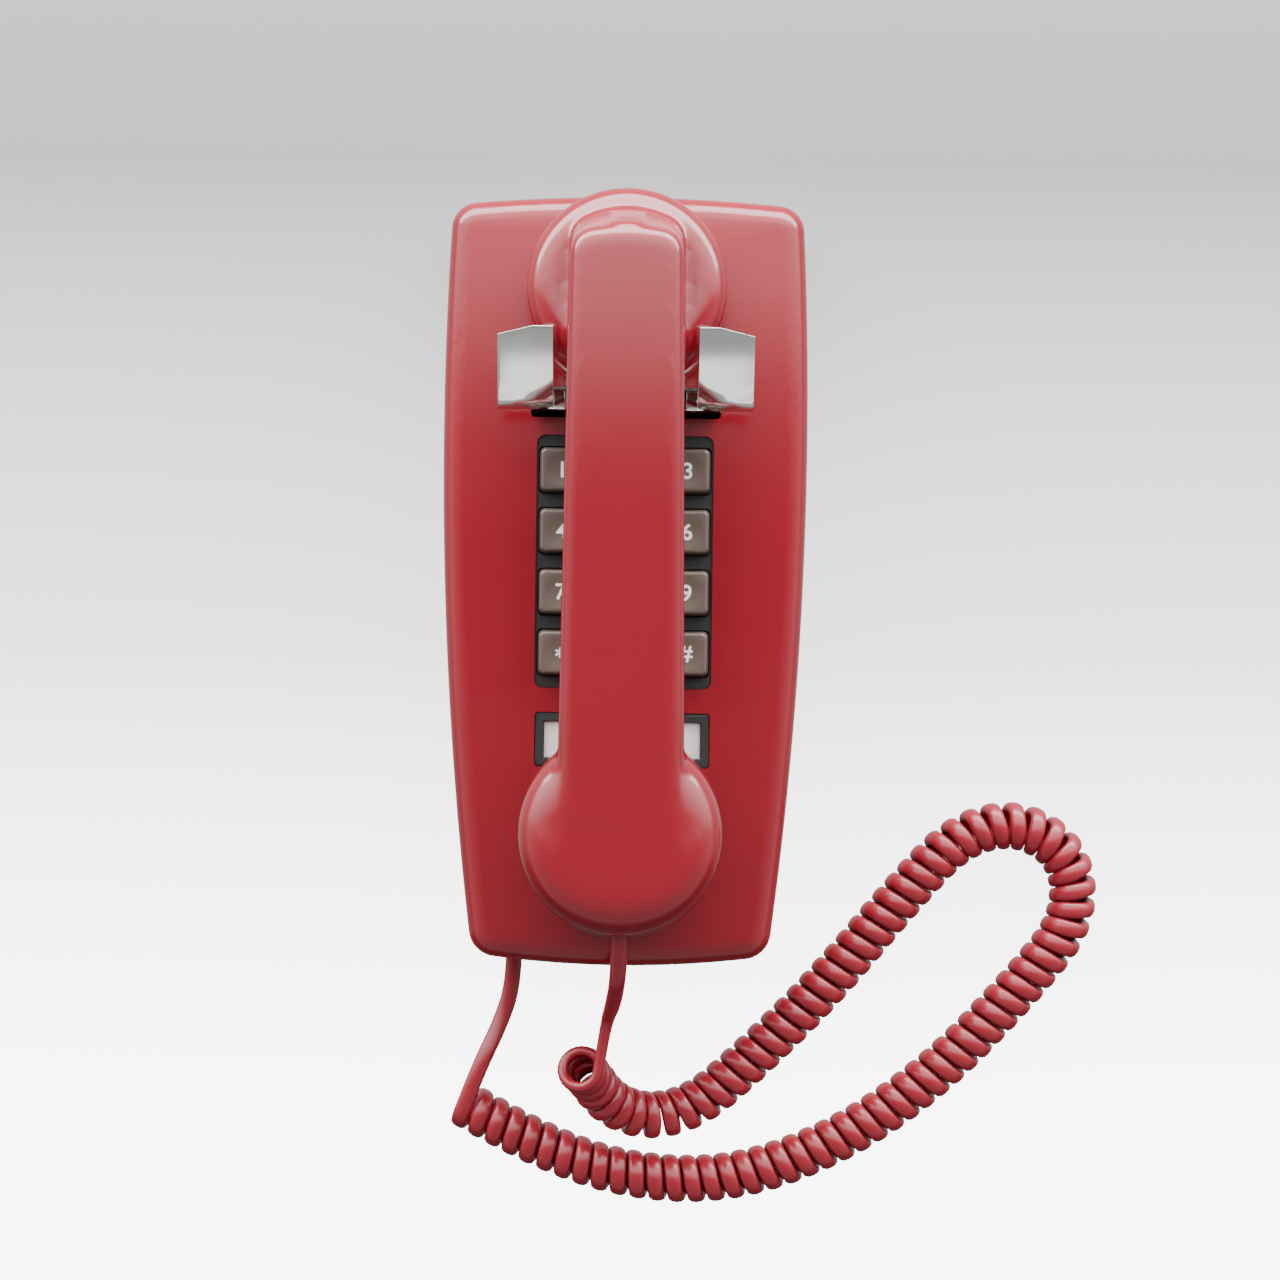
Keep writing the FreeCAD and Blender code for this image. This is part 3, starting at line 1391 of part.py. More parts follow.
def nodes():
    made = {
        "base_plate": make_base_plate(),
        "housing": make_housing(),
        "cover_screws": make_cover_screws(),
        "hook_cradle": make_hook(),
        "hook_bracket": make_hook_bracket(),
        "hook_pivot_pin": make_hook_pin(),
        "hook_springs": make_hook_springs(),
        "switch_block": make_switch_block(),
        "switch_plunger": make_switch_plunger(),
        "keypad_faceplate": make_faceplate(),
        "keypad_tray": make_tray(),
        "key_mat": make_mat(),
        "keypad_board": make_keypad_board(),
        "card_frame": make_card_frame(),
        "number_card": make_card(),
        "card_window": make_card_window(),
        "network_board": make_network_board(),
        "board_screws": make_board_screws(),
        "transformer": make_transformer(),
        "capacitor": make_capacitor(),
        "terminal_screws": make_terminals(),
        "ringer_frame": make_ringer_frame(),
        "gong_left": make_gong(-1),
        "gong_right": make_gong(1),
        "gong_screws": make_gong_screws(),
        "ringer_coil": make_ringer_coil(),
        "clapper": make_clapper(),
        "volume_wheel": make_volume_wheel(),
        "wall_plug": make_wall_plug(),
        "wall_plug_carrier": make_plug_carrier(),
        "line_wires": make_line_wires(),
        "base_jack": make_base_jack(),
        "base_cord_plug": make_base_plug(),
        "handset_shell": make_handset_shell(),
        "receiver_cap": make_receiver_cap(),
        "transmitter_cap": make_transmitter_cap(),
        "receiver_unit": placed(unit_solid(), receiver_frame()),
        "transmitter_unit": placed(unit_solid(), transmitter_frame()),
        "transmitter_contacts": make_transmitter_contacts(),
        "handset_jack": make_handset_jack(),
        "handset_cord_plug": make_handset_plug(),
        "handset_wires": make_handset_wires(),
        "cord_coil": make_cord_coil(),
        "cord_base_lead": make_lead(base_lead_points()),
        "cord_handset_lead": make_lead(handset_lead_points()),
    }
    for name, x, y in key_places():
        made["key_" + name] = make_key(x, y)
    return made


os.makedirs("parts", exist_ok=True)
for name, shape in nodes().items():
    if not shape.isValid():
        print("not valid: " + name)
    shape.exportStep("parts/" + name + ".step")
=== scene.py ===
"""Looks of a red wall telephone that lies on its back with the handset hung over its keypad.

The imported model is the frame, in metres: +Z points out of the wall, +Y up the telephone, +X right.
Each sub-assembly below is a class that dresses its own pieces, and each finish is a frozen dataclass.
"""
from __future__ import annotations

import json
import logging
import math
from dataclasses import dataclass, field
from enum import Enum
from typing import Mapping, Sequence

import bmesh
import bpy
from mathutils import Matrix, Vector

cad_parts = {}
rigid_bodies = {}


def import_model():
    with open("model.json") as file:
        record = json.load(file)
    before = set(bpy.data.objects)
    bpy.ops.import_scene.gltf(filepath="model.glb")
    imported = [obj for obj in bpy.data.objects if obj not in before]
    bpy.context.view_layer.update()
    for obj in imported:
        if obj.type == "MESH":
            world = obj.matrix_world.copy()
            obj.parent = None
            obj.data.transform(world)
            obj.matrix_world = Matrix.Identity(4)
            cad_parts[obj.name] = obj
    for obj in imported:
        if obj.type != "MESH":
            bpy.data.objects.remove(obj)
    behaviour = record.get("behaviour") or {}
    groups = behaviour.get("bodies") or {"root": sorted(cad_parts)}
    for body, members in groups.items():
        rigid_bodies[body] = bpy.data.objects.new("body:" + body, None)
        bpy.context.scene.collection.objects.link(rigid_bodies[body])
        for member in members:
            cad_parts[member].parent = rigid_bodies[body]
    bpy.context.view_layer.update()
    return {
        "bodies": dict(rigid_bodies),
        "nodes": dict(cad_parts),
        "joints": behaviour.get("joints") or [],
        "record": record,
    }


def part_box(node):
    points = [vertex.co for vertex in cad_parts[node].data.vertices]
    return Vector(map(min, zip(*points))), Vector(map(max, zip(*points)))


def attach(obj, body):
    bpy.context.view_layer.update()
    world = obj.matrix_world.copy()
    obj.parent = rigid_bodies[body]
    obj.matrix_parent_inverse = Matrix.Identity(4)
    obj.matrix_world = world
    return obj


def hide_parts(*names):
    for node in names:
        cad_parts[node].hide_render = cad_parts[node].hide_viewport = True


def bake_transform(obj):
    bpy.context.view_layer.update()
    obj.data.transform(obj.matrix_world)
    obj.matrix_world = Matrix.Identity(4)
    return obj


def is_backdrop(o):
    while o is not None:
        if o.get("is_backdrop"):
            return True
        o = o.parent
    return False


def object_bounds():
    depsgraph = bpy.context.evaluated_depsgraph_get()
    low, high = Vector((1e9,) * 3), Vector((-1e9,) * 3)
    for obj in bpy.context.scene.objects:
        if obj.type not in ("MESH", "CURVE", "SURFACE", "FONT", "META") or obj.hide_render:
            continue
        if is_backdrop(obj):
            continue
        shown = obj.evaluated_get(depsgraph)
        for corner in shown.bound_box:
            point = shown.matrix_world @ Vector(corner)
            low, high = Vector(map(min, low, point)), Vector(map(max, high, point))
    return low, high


LOG = logging.getLogger("wall_telephone")
MM = 0.001
MERGE = 0.002 * MM
FLAT_ANGLE = math.radians(0.4)
SHARP_DEG = 32.0
BAND_DISTORTION = 1.5

Number = int | float
Pair = tuple[float, float]
Triple = tuple[float, float, float]
Colour = Triple
Stops = tuple[Pair, ...]


# Shader arithmetic

class Term:
    """A shader value that can be added, multiplied and so on, as Math nodes."""

    def __init__(self, tree: bpy.types.NodeTree, socket: bpy.types.NodeSocket) -> None:
        """Wraps one output socket of a tree."""
        self.tree = tree
        self.socket = socket

    def _math(self, operation: str, first: Term | Number, second: Term | Number) -> Term:
        """Adds one Math node and gives its output."""
        node = self.tree.nodes.new("ShaderNodeMath")
        node.operation = operation
        for slot, value in zip(node.inputs, (first, second)):
            plug_in(self.tree, slot, value)
        return Term(self.tree, node.outputs[0])

    def __add__(self, other: Term | Number) -> Term:
        """Sum."""
        return self._math("ADD", self, other)

    def __radd__(self, other: Number) -> Term:
        """Sum with a number on the left."""
        return self._math("ADD", other, self)

    def __sub__(self, other: Term | Number) -> Term:
        """Difference."""
        return self._math("SUBTRACT", self, other)

    def __rsub__(self, other: Number) -> Term:
        """Difference from a number."""
        return self._math("SUBTRACT", other, self)

    def __mul__(self, other: Term | Number) -> Term:
        """Product."""
        return self._math("MULTIPLY", self, other)

    def swing(self, depth: float) -> Term:
        """A value from 0 to 1 turned into a swing of that depth round zero."""
        return (self - 0.5) * depth


def plug_in(tree: bpy.types.NodeTree, slot: bpy.types.NodeSocket, value: object) -> None:
    """Links a term to a socket, or sets the socket's own value.

    Args:
        tree: the tree that holds the socket.
        slot: an input socket.
        value: a Term, a number or a sequence of numbers.
    """
    if isinstance(value, Term):
        tree.links.new(value.socket, slot)
    else:
        slot.default_value = value


class Paint:
    """One material's node tree, with its Principled shader at hand."""

    def __init__(self, name: str) -> None:
        """Starts a material with the default shader."""
        self.material = bpy.data.materials.new(name)
        self.material.use_nodes = True
        self.tree = self.material.node_tree
        self.shader = self.tree.nodes["Principled BSDF"]

    def node(self, kind: str, settings: Mapping[str, object] | None = None,
             inputs: Mapping[str | int, object] | None = None, output: str | int = 0) -> Term:
        """Adds a node.

        Args:
            kind: the node's type, without its ShaderNode prefix.
            settings: attributes that are set first; "stops" fills a colour ramp.
            inputs: values or links by socket name or number.
            output: the output wanted.

        Returns:
            That output as a term.
        """
        made = self.tree.nodes.new("ShaderNode" + kind)
        for key, value in (settings or {}).items():
            if key == "stops":
                self._fill_ramp(made.color_ramp, value)
            else:
                setattr(made, key, value)
        for key, value in (inputs or {}).items():
            plug_in(self.tree, made.inputs[key], value)
        return Term(self.tree, made.outputs[output])

    @staticmethod
    def _fill_ramp(ramp: bpy.types.ColorRamp, stops: Sequence[tuple[float, Sequence[float]]]) -> None:
        """Sets a ramp's stops from (position, colour) pairs."""
        while len(ramp.elements) < len(stops):
            ramp.elements.new(1.0)
        for element, (position, colour) in zip(ramp.elements, stops):
            element.position = position
            element.color = (*colour, 1.0)

    def place(self, stretch: Triple | None = None) -> Term:
        """Object coordinates, stretched along the axes where that is asked."""
        where = self.node("TexCoord", output="Object")
        return self.node("Mapping", inputs={"Vector": where, "Scale": stretch}) if stretch else where

    def blend(self, share: Term | Number, low: object, high: object) -> Term:
        """Mixes two colours."""
        mixed = self.tree.nodes.new("ShaderNodeMix")
        mixed.data_type = "RGBA"
        for key, value in ((0, share), (6, low), (7, high)):
            plug_in(self.tree, mixed.inputs[key], value)
        return Term(self.tree, mixed.outputs[2])

    def tint(self, share: Term, colour: Colour, tone: Pair) -> Term:
        """Mixes a colour's darker and lighter shades, given as two factors."""
        low, high = [(*(min(1.0, channel * factor) for channel in colour), 1.0) for factor in tone]
        return self.blend(share, low, high)

    def bump(self, height: Term, depth: float, under: Term | None = None) -> Term:
        """A Bump node over a height from 0 to 1, with its depth in metres."""
        inputs: dict[str | int, object] = {"Height": height, "Distance": depth, "Strength": 1.0}
        if under:
            inputs["Normal"] = under
        return self.node("Bump", inputs=inputs)

    def set(self, **values: object) -> None:
        """Sets or links the shader's sockets, whose names have their spaces written as underscores."""
        for key, value in values.items():
            plug_in(self.tree, self.shader.inputs[key.replace("_", " ")], value)


class Sky(Paint):
    """The world's node tree, with its Background shader at hand."""

    def __init__(self, name: str) -> None:
        """Starts a world with the default background."""
        self.world = bpy.data.worlds.new(name)
        self.world.use_nodes = True
        self.tree = self.world.node_tree
        self.shader = self.tree.nodes["Background"]


# Finishes

class Pattern(Enum):
    """What a layer is read from: noise in the piece's space, noise along the cord, or bands across it."""

    NOISE = "noise"
    ALONG = "along"
    BANDS = "bands"


@dataclass(frozen=True)
class Layer:
    """One pattern of a finish, from 0 to 1, and its part in the tint, the gloss and the relief."""

    scale: float
    detail: float = 2.0
    stretch: Triple | None = None
    tint: float = 0.0
    haze: float = 0.0
    smear: float = 0.0
    depth: float = 0.0
    pattern: Pattern = Pattern.NOISE

    def read(self, paint: Paint) -> Term:
        """Adds the pattern's nodes."""
        if self.pattern is Pattern.ALONG:
            where = paint.node("Mapping", inputs={"Vector": paint.node("UVMap"), "Scale": self.stretch})
        else:
            where = paint.place(self.stretch)
        inputs = {"Vector": where, "Scale": self.scale, "Detail": self.detail}
        if self.pattern is Pattern.BANDS:
            inputs["Distortion"] = BAND_DISTORTION
            return paint.node("TexWave", {"bands_direction": "X"}, inputs, output="Fac")
        return paint.node("TexNoise", inputs=inputs)


@dataclass(frozen=True)
class Finish:
    """A named finish, the record's slot that it stands for, and how its surface varies."""

    name: str
    slot: str
    colour: Colour
    roughness: float
    tone: Pair
    layers: tuple[Layer, ...]
    metallic: float = 0.0
    coat: float = 0.0
    coat_roughness: float = 0.12
    ior: float = 1.5
    alpha: float = 1.0
    edge_alpha: float = 0.0
    edge_blend: float = 0.35

    def material(self) -> bpy.types.Material:
        """The finish as a material, made once."""
        found = bpy.data.materials.get(self.name)
        if found:
            return found
        paint = Paint(self.name)
        self.dress(paint)
        return paint.material

    def dress(self, paint: Paint) -> None:
        """Builds the nodes: each layer adds to tint and gloss, and its relief lies over the one before."""
        tint, gloss, normal = 0.0, self.roughness, None
        for layer in self.layers:
            value = layer.read(paint)
            if layer.tint:
                tint = value * layer.tint + tint
            if layer.haze:
                gloss = gloss + value.swing(layer.haze)
            if layer.smear:
                gloss = gloss + value * value * layer.smear
            if layer.depth:
                normal = paint.bump(value, layer.depth, normal)
        alpha = self.alpha
        if self.edge_alpha:
            edge = paint.node("LayerWeight", inputs={"Blend": self.edge_blend}, output="Facing")
            alpha = edge * self.edge_alpha + alpha
        paint.set(Base_Color=paint.tint(tint, self.colour, self.tone), Roughness=gloss, Normal=normal,
                  Metallic=self.metallic, IOR=self.ior, Alpha=alpha, Coat_Weight=self.coat,
                  Coat_Roughness=self.coat_roughness)


def moulded(name: str, slot: str, colour: Colour, roughness: float, coat: float = 0.0,
            flow: float = 0.10) -> Finish:
    """Injection-moulded plastic: faint flow marks, hazy patches, a fine orange peel over slight sinks."""
    uneven = 0.045
    return Finish(name, slot, colour, roughness, (1 - flow, 1 + flow), (
        Layer(22.0, 3.0, (1.0, 0.35, 1.0), tint=1.0),
        Layer(60.0, 3.0, haze=uneven),
        Layer(420.0, haze=0.5 * uneven),
        Layer(38.0, 1.0, depth=0.05 * MM),
        Layer(900.0, depth=0.010 * MM)), coat=coat)


def plated(name: str, slot: str, colour: Colour, roughness: float) -> Finish:
    """Bright plating over stamped metal: smudges, faint waves, and a haze of fine scratches."""
    return Finish(name, slot, colour, roughness, (0.93, 1.0), (
        Layer(70.0, 4.0, tint=1.0, smear=0.16),
        Layer(55.0, 1.0, depth=0.04 * MM),
        Layer(260.0, stretch=(0.18, 1.0, 1.0), haze=0.05, depth=0.003 * MM)), metallic=1.0)


def sheet(name: str, slot: str, colour: Colour, roughness: float = 0.38,
          grain: Triple = (0.05, 1.0, 1.0)) -> Finish:
    """Rolled or turned metal with a drawn grain and dull patches."""
    return Finish(name, slot, colour, roughness, (0.86, 1.05), (
        Layer(30.0, 4.0, tint=1.0, haze=0.16),
        Layer(900.0, 3.0, grain, haze=0.1, depth=0.006 * MM)), metallic=1.0)


def insulation(name: str, slot: str, colour: Colour, turns: float) -> Finish:
    """Coloured wire insulation and winding tape, in fine bands."""
    return Finish(name, slot, colour, 0.5, (0.72, 1.1), (
        Layer(turns, 1.0, tint=1.0, haze=0.2, depth=0.03 * MM, pattern=Pattern.BANDS),))


DEEP_RED = (0.215, 0.0060, 0.0140)
RED = moulded("red plastic", "red_plastic", DEEP_RED, 0.15, coat=0.35)
HANDSET_RED = moulded("handset plastic", "red_plastic", DEEP_RED, 0.19, coat=0.35)
BLACK = moulded("black plastic", "black_plastic", (0.012, 0.012, 0.013), 0.46, coat=0.1)
KEY_GREY = moulded("key plastic", "key_plastic", (0.092, 0.066, 0.052), 0.42, coat=0.15)
CREAM = moulded("cream plastic", "cream_plastic", (0.66, 0.60, 0.47), 0.42, coat=0.1)
MARK = moulded("key mark", "card", (0.80, 0.78, 0.74), 0.5, flow=0.03)
MAT_RUBBER = moulded("mat rubber", "key_rubber", (0.04, 0.04, 0.042), 0.7)
JACKET = Finish("cord jacket", "cord_jacket", (0.27, 0.010, 0.021), 0.30, (0.82, 1.14), (
    Layer(1200.0, depth=0.006 * MM),
    Layer(55.0, 3.0, tint=0.7, haze=0.14),
    Layer(1.0, stretch=(40.0, 1.5, 1.0), tint=0.3, depth=0.02 * MM, pattern=Pattern.ALONG)),
    coat=0.25, coat_roughness=0.2, ior=1.48)
CHROME = plated("hook chrome", "chrome", (0.74, 0.75, 0.72), 0.09)
GOLD = plated("contact gold", "brass", (0.83, 0.62, 0.28), 0.2)
PLATE = sheet("plated sheet", "plate_steel", (0.56, 0.56, 0.53))
SCREW = sheet("screw steel", "screw_steel", (0.50, 0.50, 0.49), 0.32, (1.0, 1.0, 0.1))
BRASS = sheet("gong brass", "brass", (0.70, 0.52, 0.24), 0.3)
CAN = sheet("drawn can", "capacitor_can", (0.62, 0.63, 0.64), grain=(1.0, 0.05, 1.0))
CARD = Finish("number card", "card", (0.93, 0.89, 0.87), 0.72, (0.93, 1.0), (
    Layer(1400.0, 4.0, (1.0, 0.3, 1.0), tint=0.5, haze=0.1, depth=0.01 * MM),
    Layer(35.0, tint=0.5)))
CLEAR = Finish("clear plastic", "clear_plastic", (0.88, 0.90, 0.90), 0.10, (0.95, 1.0), (
    Layer(90.0, 3.0, tint=1.0, haze=0.06),
    Layer(300.0, depth=0.004 * MM)), ior=1.49, alpha=0.08, edge_alpha=0.3)
BOARD = Finish("board laminate", "board", (0.26, 0.17, 0.07), 0.42, (0.8, 1.15), (
    Layer(1500.0, stretch=(0.1, 1.0, 1.0), tint=0.25, haze=0.1, depth=0.005 * MM),
    Layer(1500.0, stretch=(1.0, 0.1, 1.0), tint=0.25, haze=0.1, depth=0.005 * MM),
    Layer(40.0, 3.0, tint=0.5)))
WIRE = insulation("wire insulation", "wire", (0.62, 0.50, 0.14), 40.0)
WINDING = insulation("coil winding", "coil_wrap", (0.42, 0.22, 0.07), 260.0)


# Mesh helpers

def link(name: str, data: bpy.types.ID) -> bpy.types.Object:
    """Puts a mesh, curve, lamp or camera in the scene under a name."""
    made = bpy.data.objects.new(name, data)
    bpy.context.scene.collection.objects.link(made)
    return made


def mesh_of(curve: bpy.types.Curve) -> bpy.types.Mesh:
    """The plain mesh that a curve or a text gives; the curve itself goes."""
    holder = link("holder", curve)
    mesh = bpy.data.meshes.new_from_object(holder)
    bpy.data.objects.remove(holder)
    bpy.data.curves.remove(curve)
    return mesh


def ramp(value: float, start: float, end: float) -> float:
    """A smooth step from 0 at start to 1 at end, in either direction."""
    share = min(1.0, max(0.0, (value - start) / (end - start)))
    return share * share * (3 - 2 * share)


def from_bmesh(name: str, shape: bmesh.types.BMesh) -> bpy.types.Object:
    """Turns a bmesh into a smooth-shaded piece and frees it."""
    mesh = bpy.data.meshes.new(name)
    shape.to_mesh(mesh)
    shape.free()
    mesh.shade_smooth()
    return link(name, mesh)


def baked(piece: bpy.types.Object) -> bpy.types.Object:
    """Replaces a piece by the plain mesh that its modifiers give."""
    graph = bpy.context.evaluated_depsgraph_get()
    mesh = bpy.data.meshes.new_from_object(piece.evaluated_get(graph))
    name, old = piece.name, piece.data
    bpy.data.objects.remove(piece)
    bpy.data.meshes.remove(old)
    mesh.name = name
    return link(name, mesh)


def node_copy(frame: dict, node: str, name: str) -> bpy.types.Object:
    """A copy of a CAD node with its points merged and its curved faces smooth.

    Args:
        node: the CAD node.
        name: the new piece's name.

    Returns:
        The new piece.
    """
    shape = bmesh.new()
    shape.from_mesh(frame["nodes"][node].data)
    bmesh.ops.remove_doubles(shape, verts=shape.verts, dist=MERGE)
    bmesh.ops.dissolve_limit(shape, angle_limit=FLAT_ANGLE, verts=shape.verts, edges=shape.edges)
    piece = from_bmesh(name, shape)
    piece.data.set_sharp_from_angle(angle=math.radians(SHARP_DEG))
    return piece


def bevelled(piece: bpy.types.Object, width: float, segments: int = 3) -> bpy.types.Object:
    """Rounds a piece's sharp edges and keeps the flats flat."""
    bevel = piece.modifiers.new("rounding", "BEVEL")
    bevel.width = width
    bevel.segments = segments
    bevel.limit_method = "ANGLE"
    bevel.angle_limit = math.radians(SHARP_DEG)
    bevel.harden_normals = True
    bevel.use_clamp_overlap = True
    return baked(piece)


def finish_piece(piece: bpy.types.Object, finish: Finish, body: str, *nodes: str) -> bpy.types.Object:
    """Gives a piece its finish and body, and lets it stand for CAD nodes.

    Args:
        piece: the piece.
        finish: its finish.
        body: the body it rides on.
        nodes: CAD nodes that it replaces.

    Returns:
        The same piece.
    """
    piece.data.materials.clear()
    piece.data.materials.append(finish.material())
    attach(piece, body)
    if nodes:
        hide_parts(*nodes)
    LOG.info("%s rides on %s", piece.name, body)
    return piece


def rounded_copy(frame: dict, node: str, name: str, width: float, finish: Finish, body: str = "root") -> None:
    """Dresses a copy of a CAD node with its edges rounded, and lets it stand for that node."""
    finish_piece(bevelled(node_copy(frame, node, name), width), finish, body, node)


# Cord

class LeadEnd(Enum):
    """Which end of the coil a lead belongs to."""

    BASE = "base"
    HANDSET = "handset"


@dataclass
class WirePoint:
    """One place along the cord: its centre, its heading and the direction of its wide side."""

    centre: Vector
    heading: Vector
    wide: Vector
    width: float


@dataclass
class CurlyCord:
    """The one cord: a lead from the housing, the coil on the table, a lead up to the handset."""

    width: float = 5.0 * MM
    thickness: float = 3.3 * MM
    coil_radius: float = 5.7 * MM
    turns: float = 78.06
    steps_per_turn: int = 26
    sides: int = 12
    squareness: float = 2.4
    lead_steps: int = 34
    axis_steps: int = 40
    snug: float = 0.97
    repeats_per_metre: float = 10.0
    base_run: float = 10.5 * MM
    handset_run: float = 12.0 * MM
    coil_run: float = 13.0 * MM
    transmitter_tilt: float = math.radians(10.0)
    handset_exit: Vector = field(default_factory=lambda: Vector((0.0, -0.1031, 0.0647)))
    stretch_low_z: float = 0.042
    axis: tuple[Triple, ...] = (
        (-0.0470, -0.1602, 0.0074), (-0.0300, -0.1700, 0.0074), (0.0000, -0.1815, 0.0074),
        (0.0340, -0.1830, 0.0074), (0.0680, -0.1705, 0.0074), (0.0980, -0.1490, 0.0074),
        (0.1240, -0.1210, 0.0074), (0.1390, -0.1020, 0.0074), (0.1380, -0.0820, 0.0074),
        (0.1225, -0.0715, 0.0074), (0.1040, -0.0755, 0.0074), (0.0880, -0.0925, 0.0074),
        (0.0620, -0.1240, 0.0074), (0.0400, -0.1460, 0.0074), (0.0240, -0.1600, 0.0078),
        (0.0090, -0.1635, 0.0105), (-0.0030, -0.1585, 0.0170), (-0.0096, -0.1480, 0.0270),
        (-0.0114, -0.1455, 0.0380))
    base_lead: tuple[Triple, ...] = ((-0.0362, -0.1350, 0.0102),)
    handset_lead: tuple[Triple, ...] = ((-0.0016, -0.1255, 0.0490),)

    def route(self, points: Sequence[Vector], steps: int) -> list[Vector]:
        """Points read from a smooth NURBS line.

        Args:
            points: its control points.
            steps: points read between two of them.

        Returns:
            The line's points in order.
        """
        curve = bpy.data.curves.new("route", "CURVE")
        curve.dimensions = "3D"
        curve.resolution_u = steps
        spline = curve.splines.new("NURBS")
        spline.points.add(len(points) - 1)
        for place, point in zip(spline.points, points):
            place.co = (*point, 1.0)
        spline.order_u = 3
        spline.use_endpoint_u = True
        mesh = mesh_of(curve)
        line = [vertex.co.copy() for vertex in mesh.vertices]
        bpy.data.meshes.remove(mesh)
        return line

    def coil(self) -> list[WirePoint]:
        """The helix along the coil's middle line, wide side along that line."""
        line = self.route([Vector(p) for p in self.axis], self.axis_steps)
        lengths = [0.0]
        for before, after in zip(line, line[1:]):
            lengths.append(lengths[-1] + (after - before).length)
        count = 2 * round(self.turns * self.steps_per_turn / 2)
        normal, at = Vector((0.0, 0.0, 1.0)), 0
        centres, tangents, normals = [], [], []
        for index in range(count + 1):
            along = lengths[-1] * index / count
            while at < len(line) - 2 and lengths[at + 1] < along:
                at += 1
            share = (along - lengths[at]) / (lengths[at + 1] - lengths[at])
            low, high = max(at - 1, 0), min(at + 2, len(line) - 1)
            before = (line[at + 1] - line[low]).normalized()
            after = (line[high] - line[at]).normalized()
            tangent = before.lerp(after, share).normalized()
            normal = (normal - tangent * normal.dot(tangent)).normalized()
            centres.append(line[at].lerp(line[at + 1], share))
            tangents.append(tangent)
            normals.append(normal)
        wire = []
        for index, (centre, tangent, normal) in enumerate(zip(centres, tangents, normals)):
            angle = 2 * math.pi * self.turns * index / count
            out = normal * math.cos(angle) + tangent.cross(normal) * math.sin(angle)
            wire.append(centre + out * self.coil_radius)
        places, per_turn = [], self.steps_per_turn
        for index, centre in enumerate(wire):
            heading = (wire[min(index + 1, count)] - wire[max(index - 1, 0)]).normalized()
            wide = tangents[index] - heading * heading.dot(tangents[index])
            other = wire[index + per_turn] if index + per_turn <= count else wire[index - per_turn]
            room = (other - centre).length * self.snug
            places.append(WirePoint(centre, heading, wide.normalized(), min(self.width, room)))
        return places

    def base_exit(self) -> Vector:
        """The middle of the base plug's outer face."""
        low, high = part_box("base_cord_plug")
        return Vector(((low.x + high.x) / 2, low.y, (low.z + high.z) / 2))

    def lead(self, end: LeadEnd, joint: WirePoint) -> list[WirePoint]:
        """One lead, from the coil's end to its plug.

        Args:
            end: which lead.
            joint: the coil's end point.

        Returns:
            Points from the coil outwards, without the coil's own point.
        """
        if end is LeadEnd.BASE:
            plug, out = self.base_exit(), Vector((0.0, -1.0, 0.0))
            leave, run, middle = -joint.heading, self.base_run, self.base_lead
        else:
            tilt = self.transmitter_tilt
            plug, out = self.handset_exit, Vector((0.0, -math.cos(tilt), -math.sin(tilt)))
            leave, run, middle = joint.heading, self.handset_run, self.handset_lead
        points = [joint.centre, joint.centre + leave * self.coil_run]
        points += [Vector(p) for p in reversed(middle)]
        points += [plug + out * run, plug]
        line = self.route(points, self.lead_steps)
        places = []
        for index in range(1, len(line)):
            heading = (line[min(index + 1, len(line) - 1)] - line[index - 1]).normalized()
            share = ramp(index, 0, len(line) - 1)
            flat = Vector((1.0, 0.0, 0.0))
            if flat.dot(joint.wide) < 0:
                flat = -flat
            wide = joint.wide.lerp(flat, share)
            wide = (wide - heading * heading.dot(wide)).normalized()
            width = joint.width + (self.width - joint.width) * share
            places.append(WirePoint(line[index], heading, wide, width))
        return places

    def tube(self, places: Sequence[WirePoint]) -> bpy.types.Object:
        """The jacket round the wire's places, closed at both ends, with a UV map round and along it."""
        shape = bmesh.new()
        layer = shape.loops.layers.uv.new("UVMap")
        power = 2 / self.squareness
        rings, along = [], [0.0]
        for index, place in enumerate(places):
            across = place.heading.cross(place.wide)
            ring = []
            for step in range(self.sides):
                angle = 2 * math.pi * step / self.sides
                c, s = math.cos(angle), math.sin(angle)
                a = math.copysign(abs(c) ** power, c) * place.width / 2
                b = math.copysign(abs(s) ** power, s) * self.thickness / 2
                ring.append(shape.verts.new(place.centre + place.wide * a + across * b))
            rings.append(ring)
            if index:
                along.append(along[-1] + (place.centre - places[index - 1].centre).length)
        for row in range(len(rings) - 1):
            for step in range(self.sides):
                following = (step + 1) % self.sides
                face = shape.faces.new((rings[row][step], rings[row][following],
                                        rings[row + 1][following], rings[row + 1][step]))
                corners = ((step, row), (step + 1, row), (step + 1, row + 1), (step, row + 1))
                for loop, (turn, place_row) in zip(face.loops, corners):
                    loop[layer].uv = (turn / self.sides, along[place_row] * self.repeats_per_metre)
        shape.faces.new(reversed(rings[0]))
        shape.faces.new(rings[-1])
        bmesh.ops.recalc_face_normals(shape, faces=shape.faces)
        return from_bmesh("curly_cord", shape)

    def build(self, frame: dict) -> None:
        coil = self.coil()
        reverse = [WirePoint(p.centre, -p.heading, p.wide, p.width) for p in self.lead(LeadEnd.BASE, coil[0])]
        places = list(reversed(reverse)) + coil + self.lead(LeadEnd.HANDSET, coil[-1])
        piece = self.tube(places)
        length = sum((b.centre - a.centre).length for a, b in zip(places, places[1:]))
        piece.data.materials.append(JACKET.material())
        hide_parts("cord_coil", "cord_base_lead", "cord_handset_lead")
        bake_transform(piece)
        LOG.info("cord %.3f m long", length)


# Shells

@dataclass
class Housing:
    """The red housing with its rounded front."""

    rounding: float = 0.35 * MM

    def build(self, frame: dict) -> None:
        """Smooths the moulded cover."""
        rounded_copy(frame, "housing", "housing_cover", self.rounding, RED)


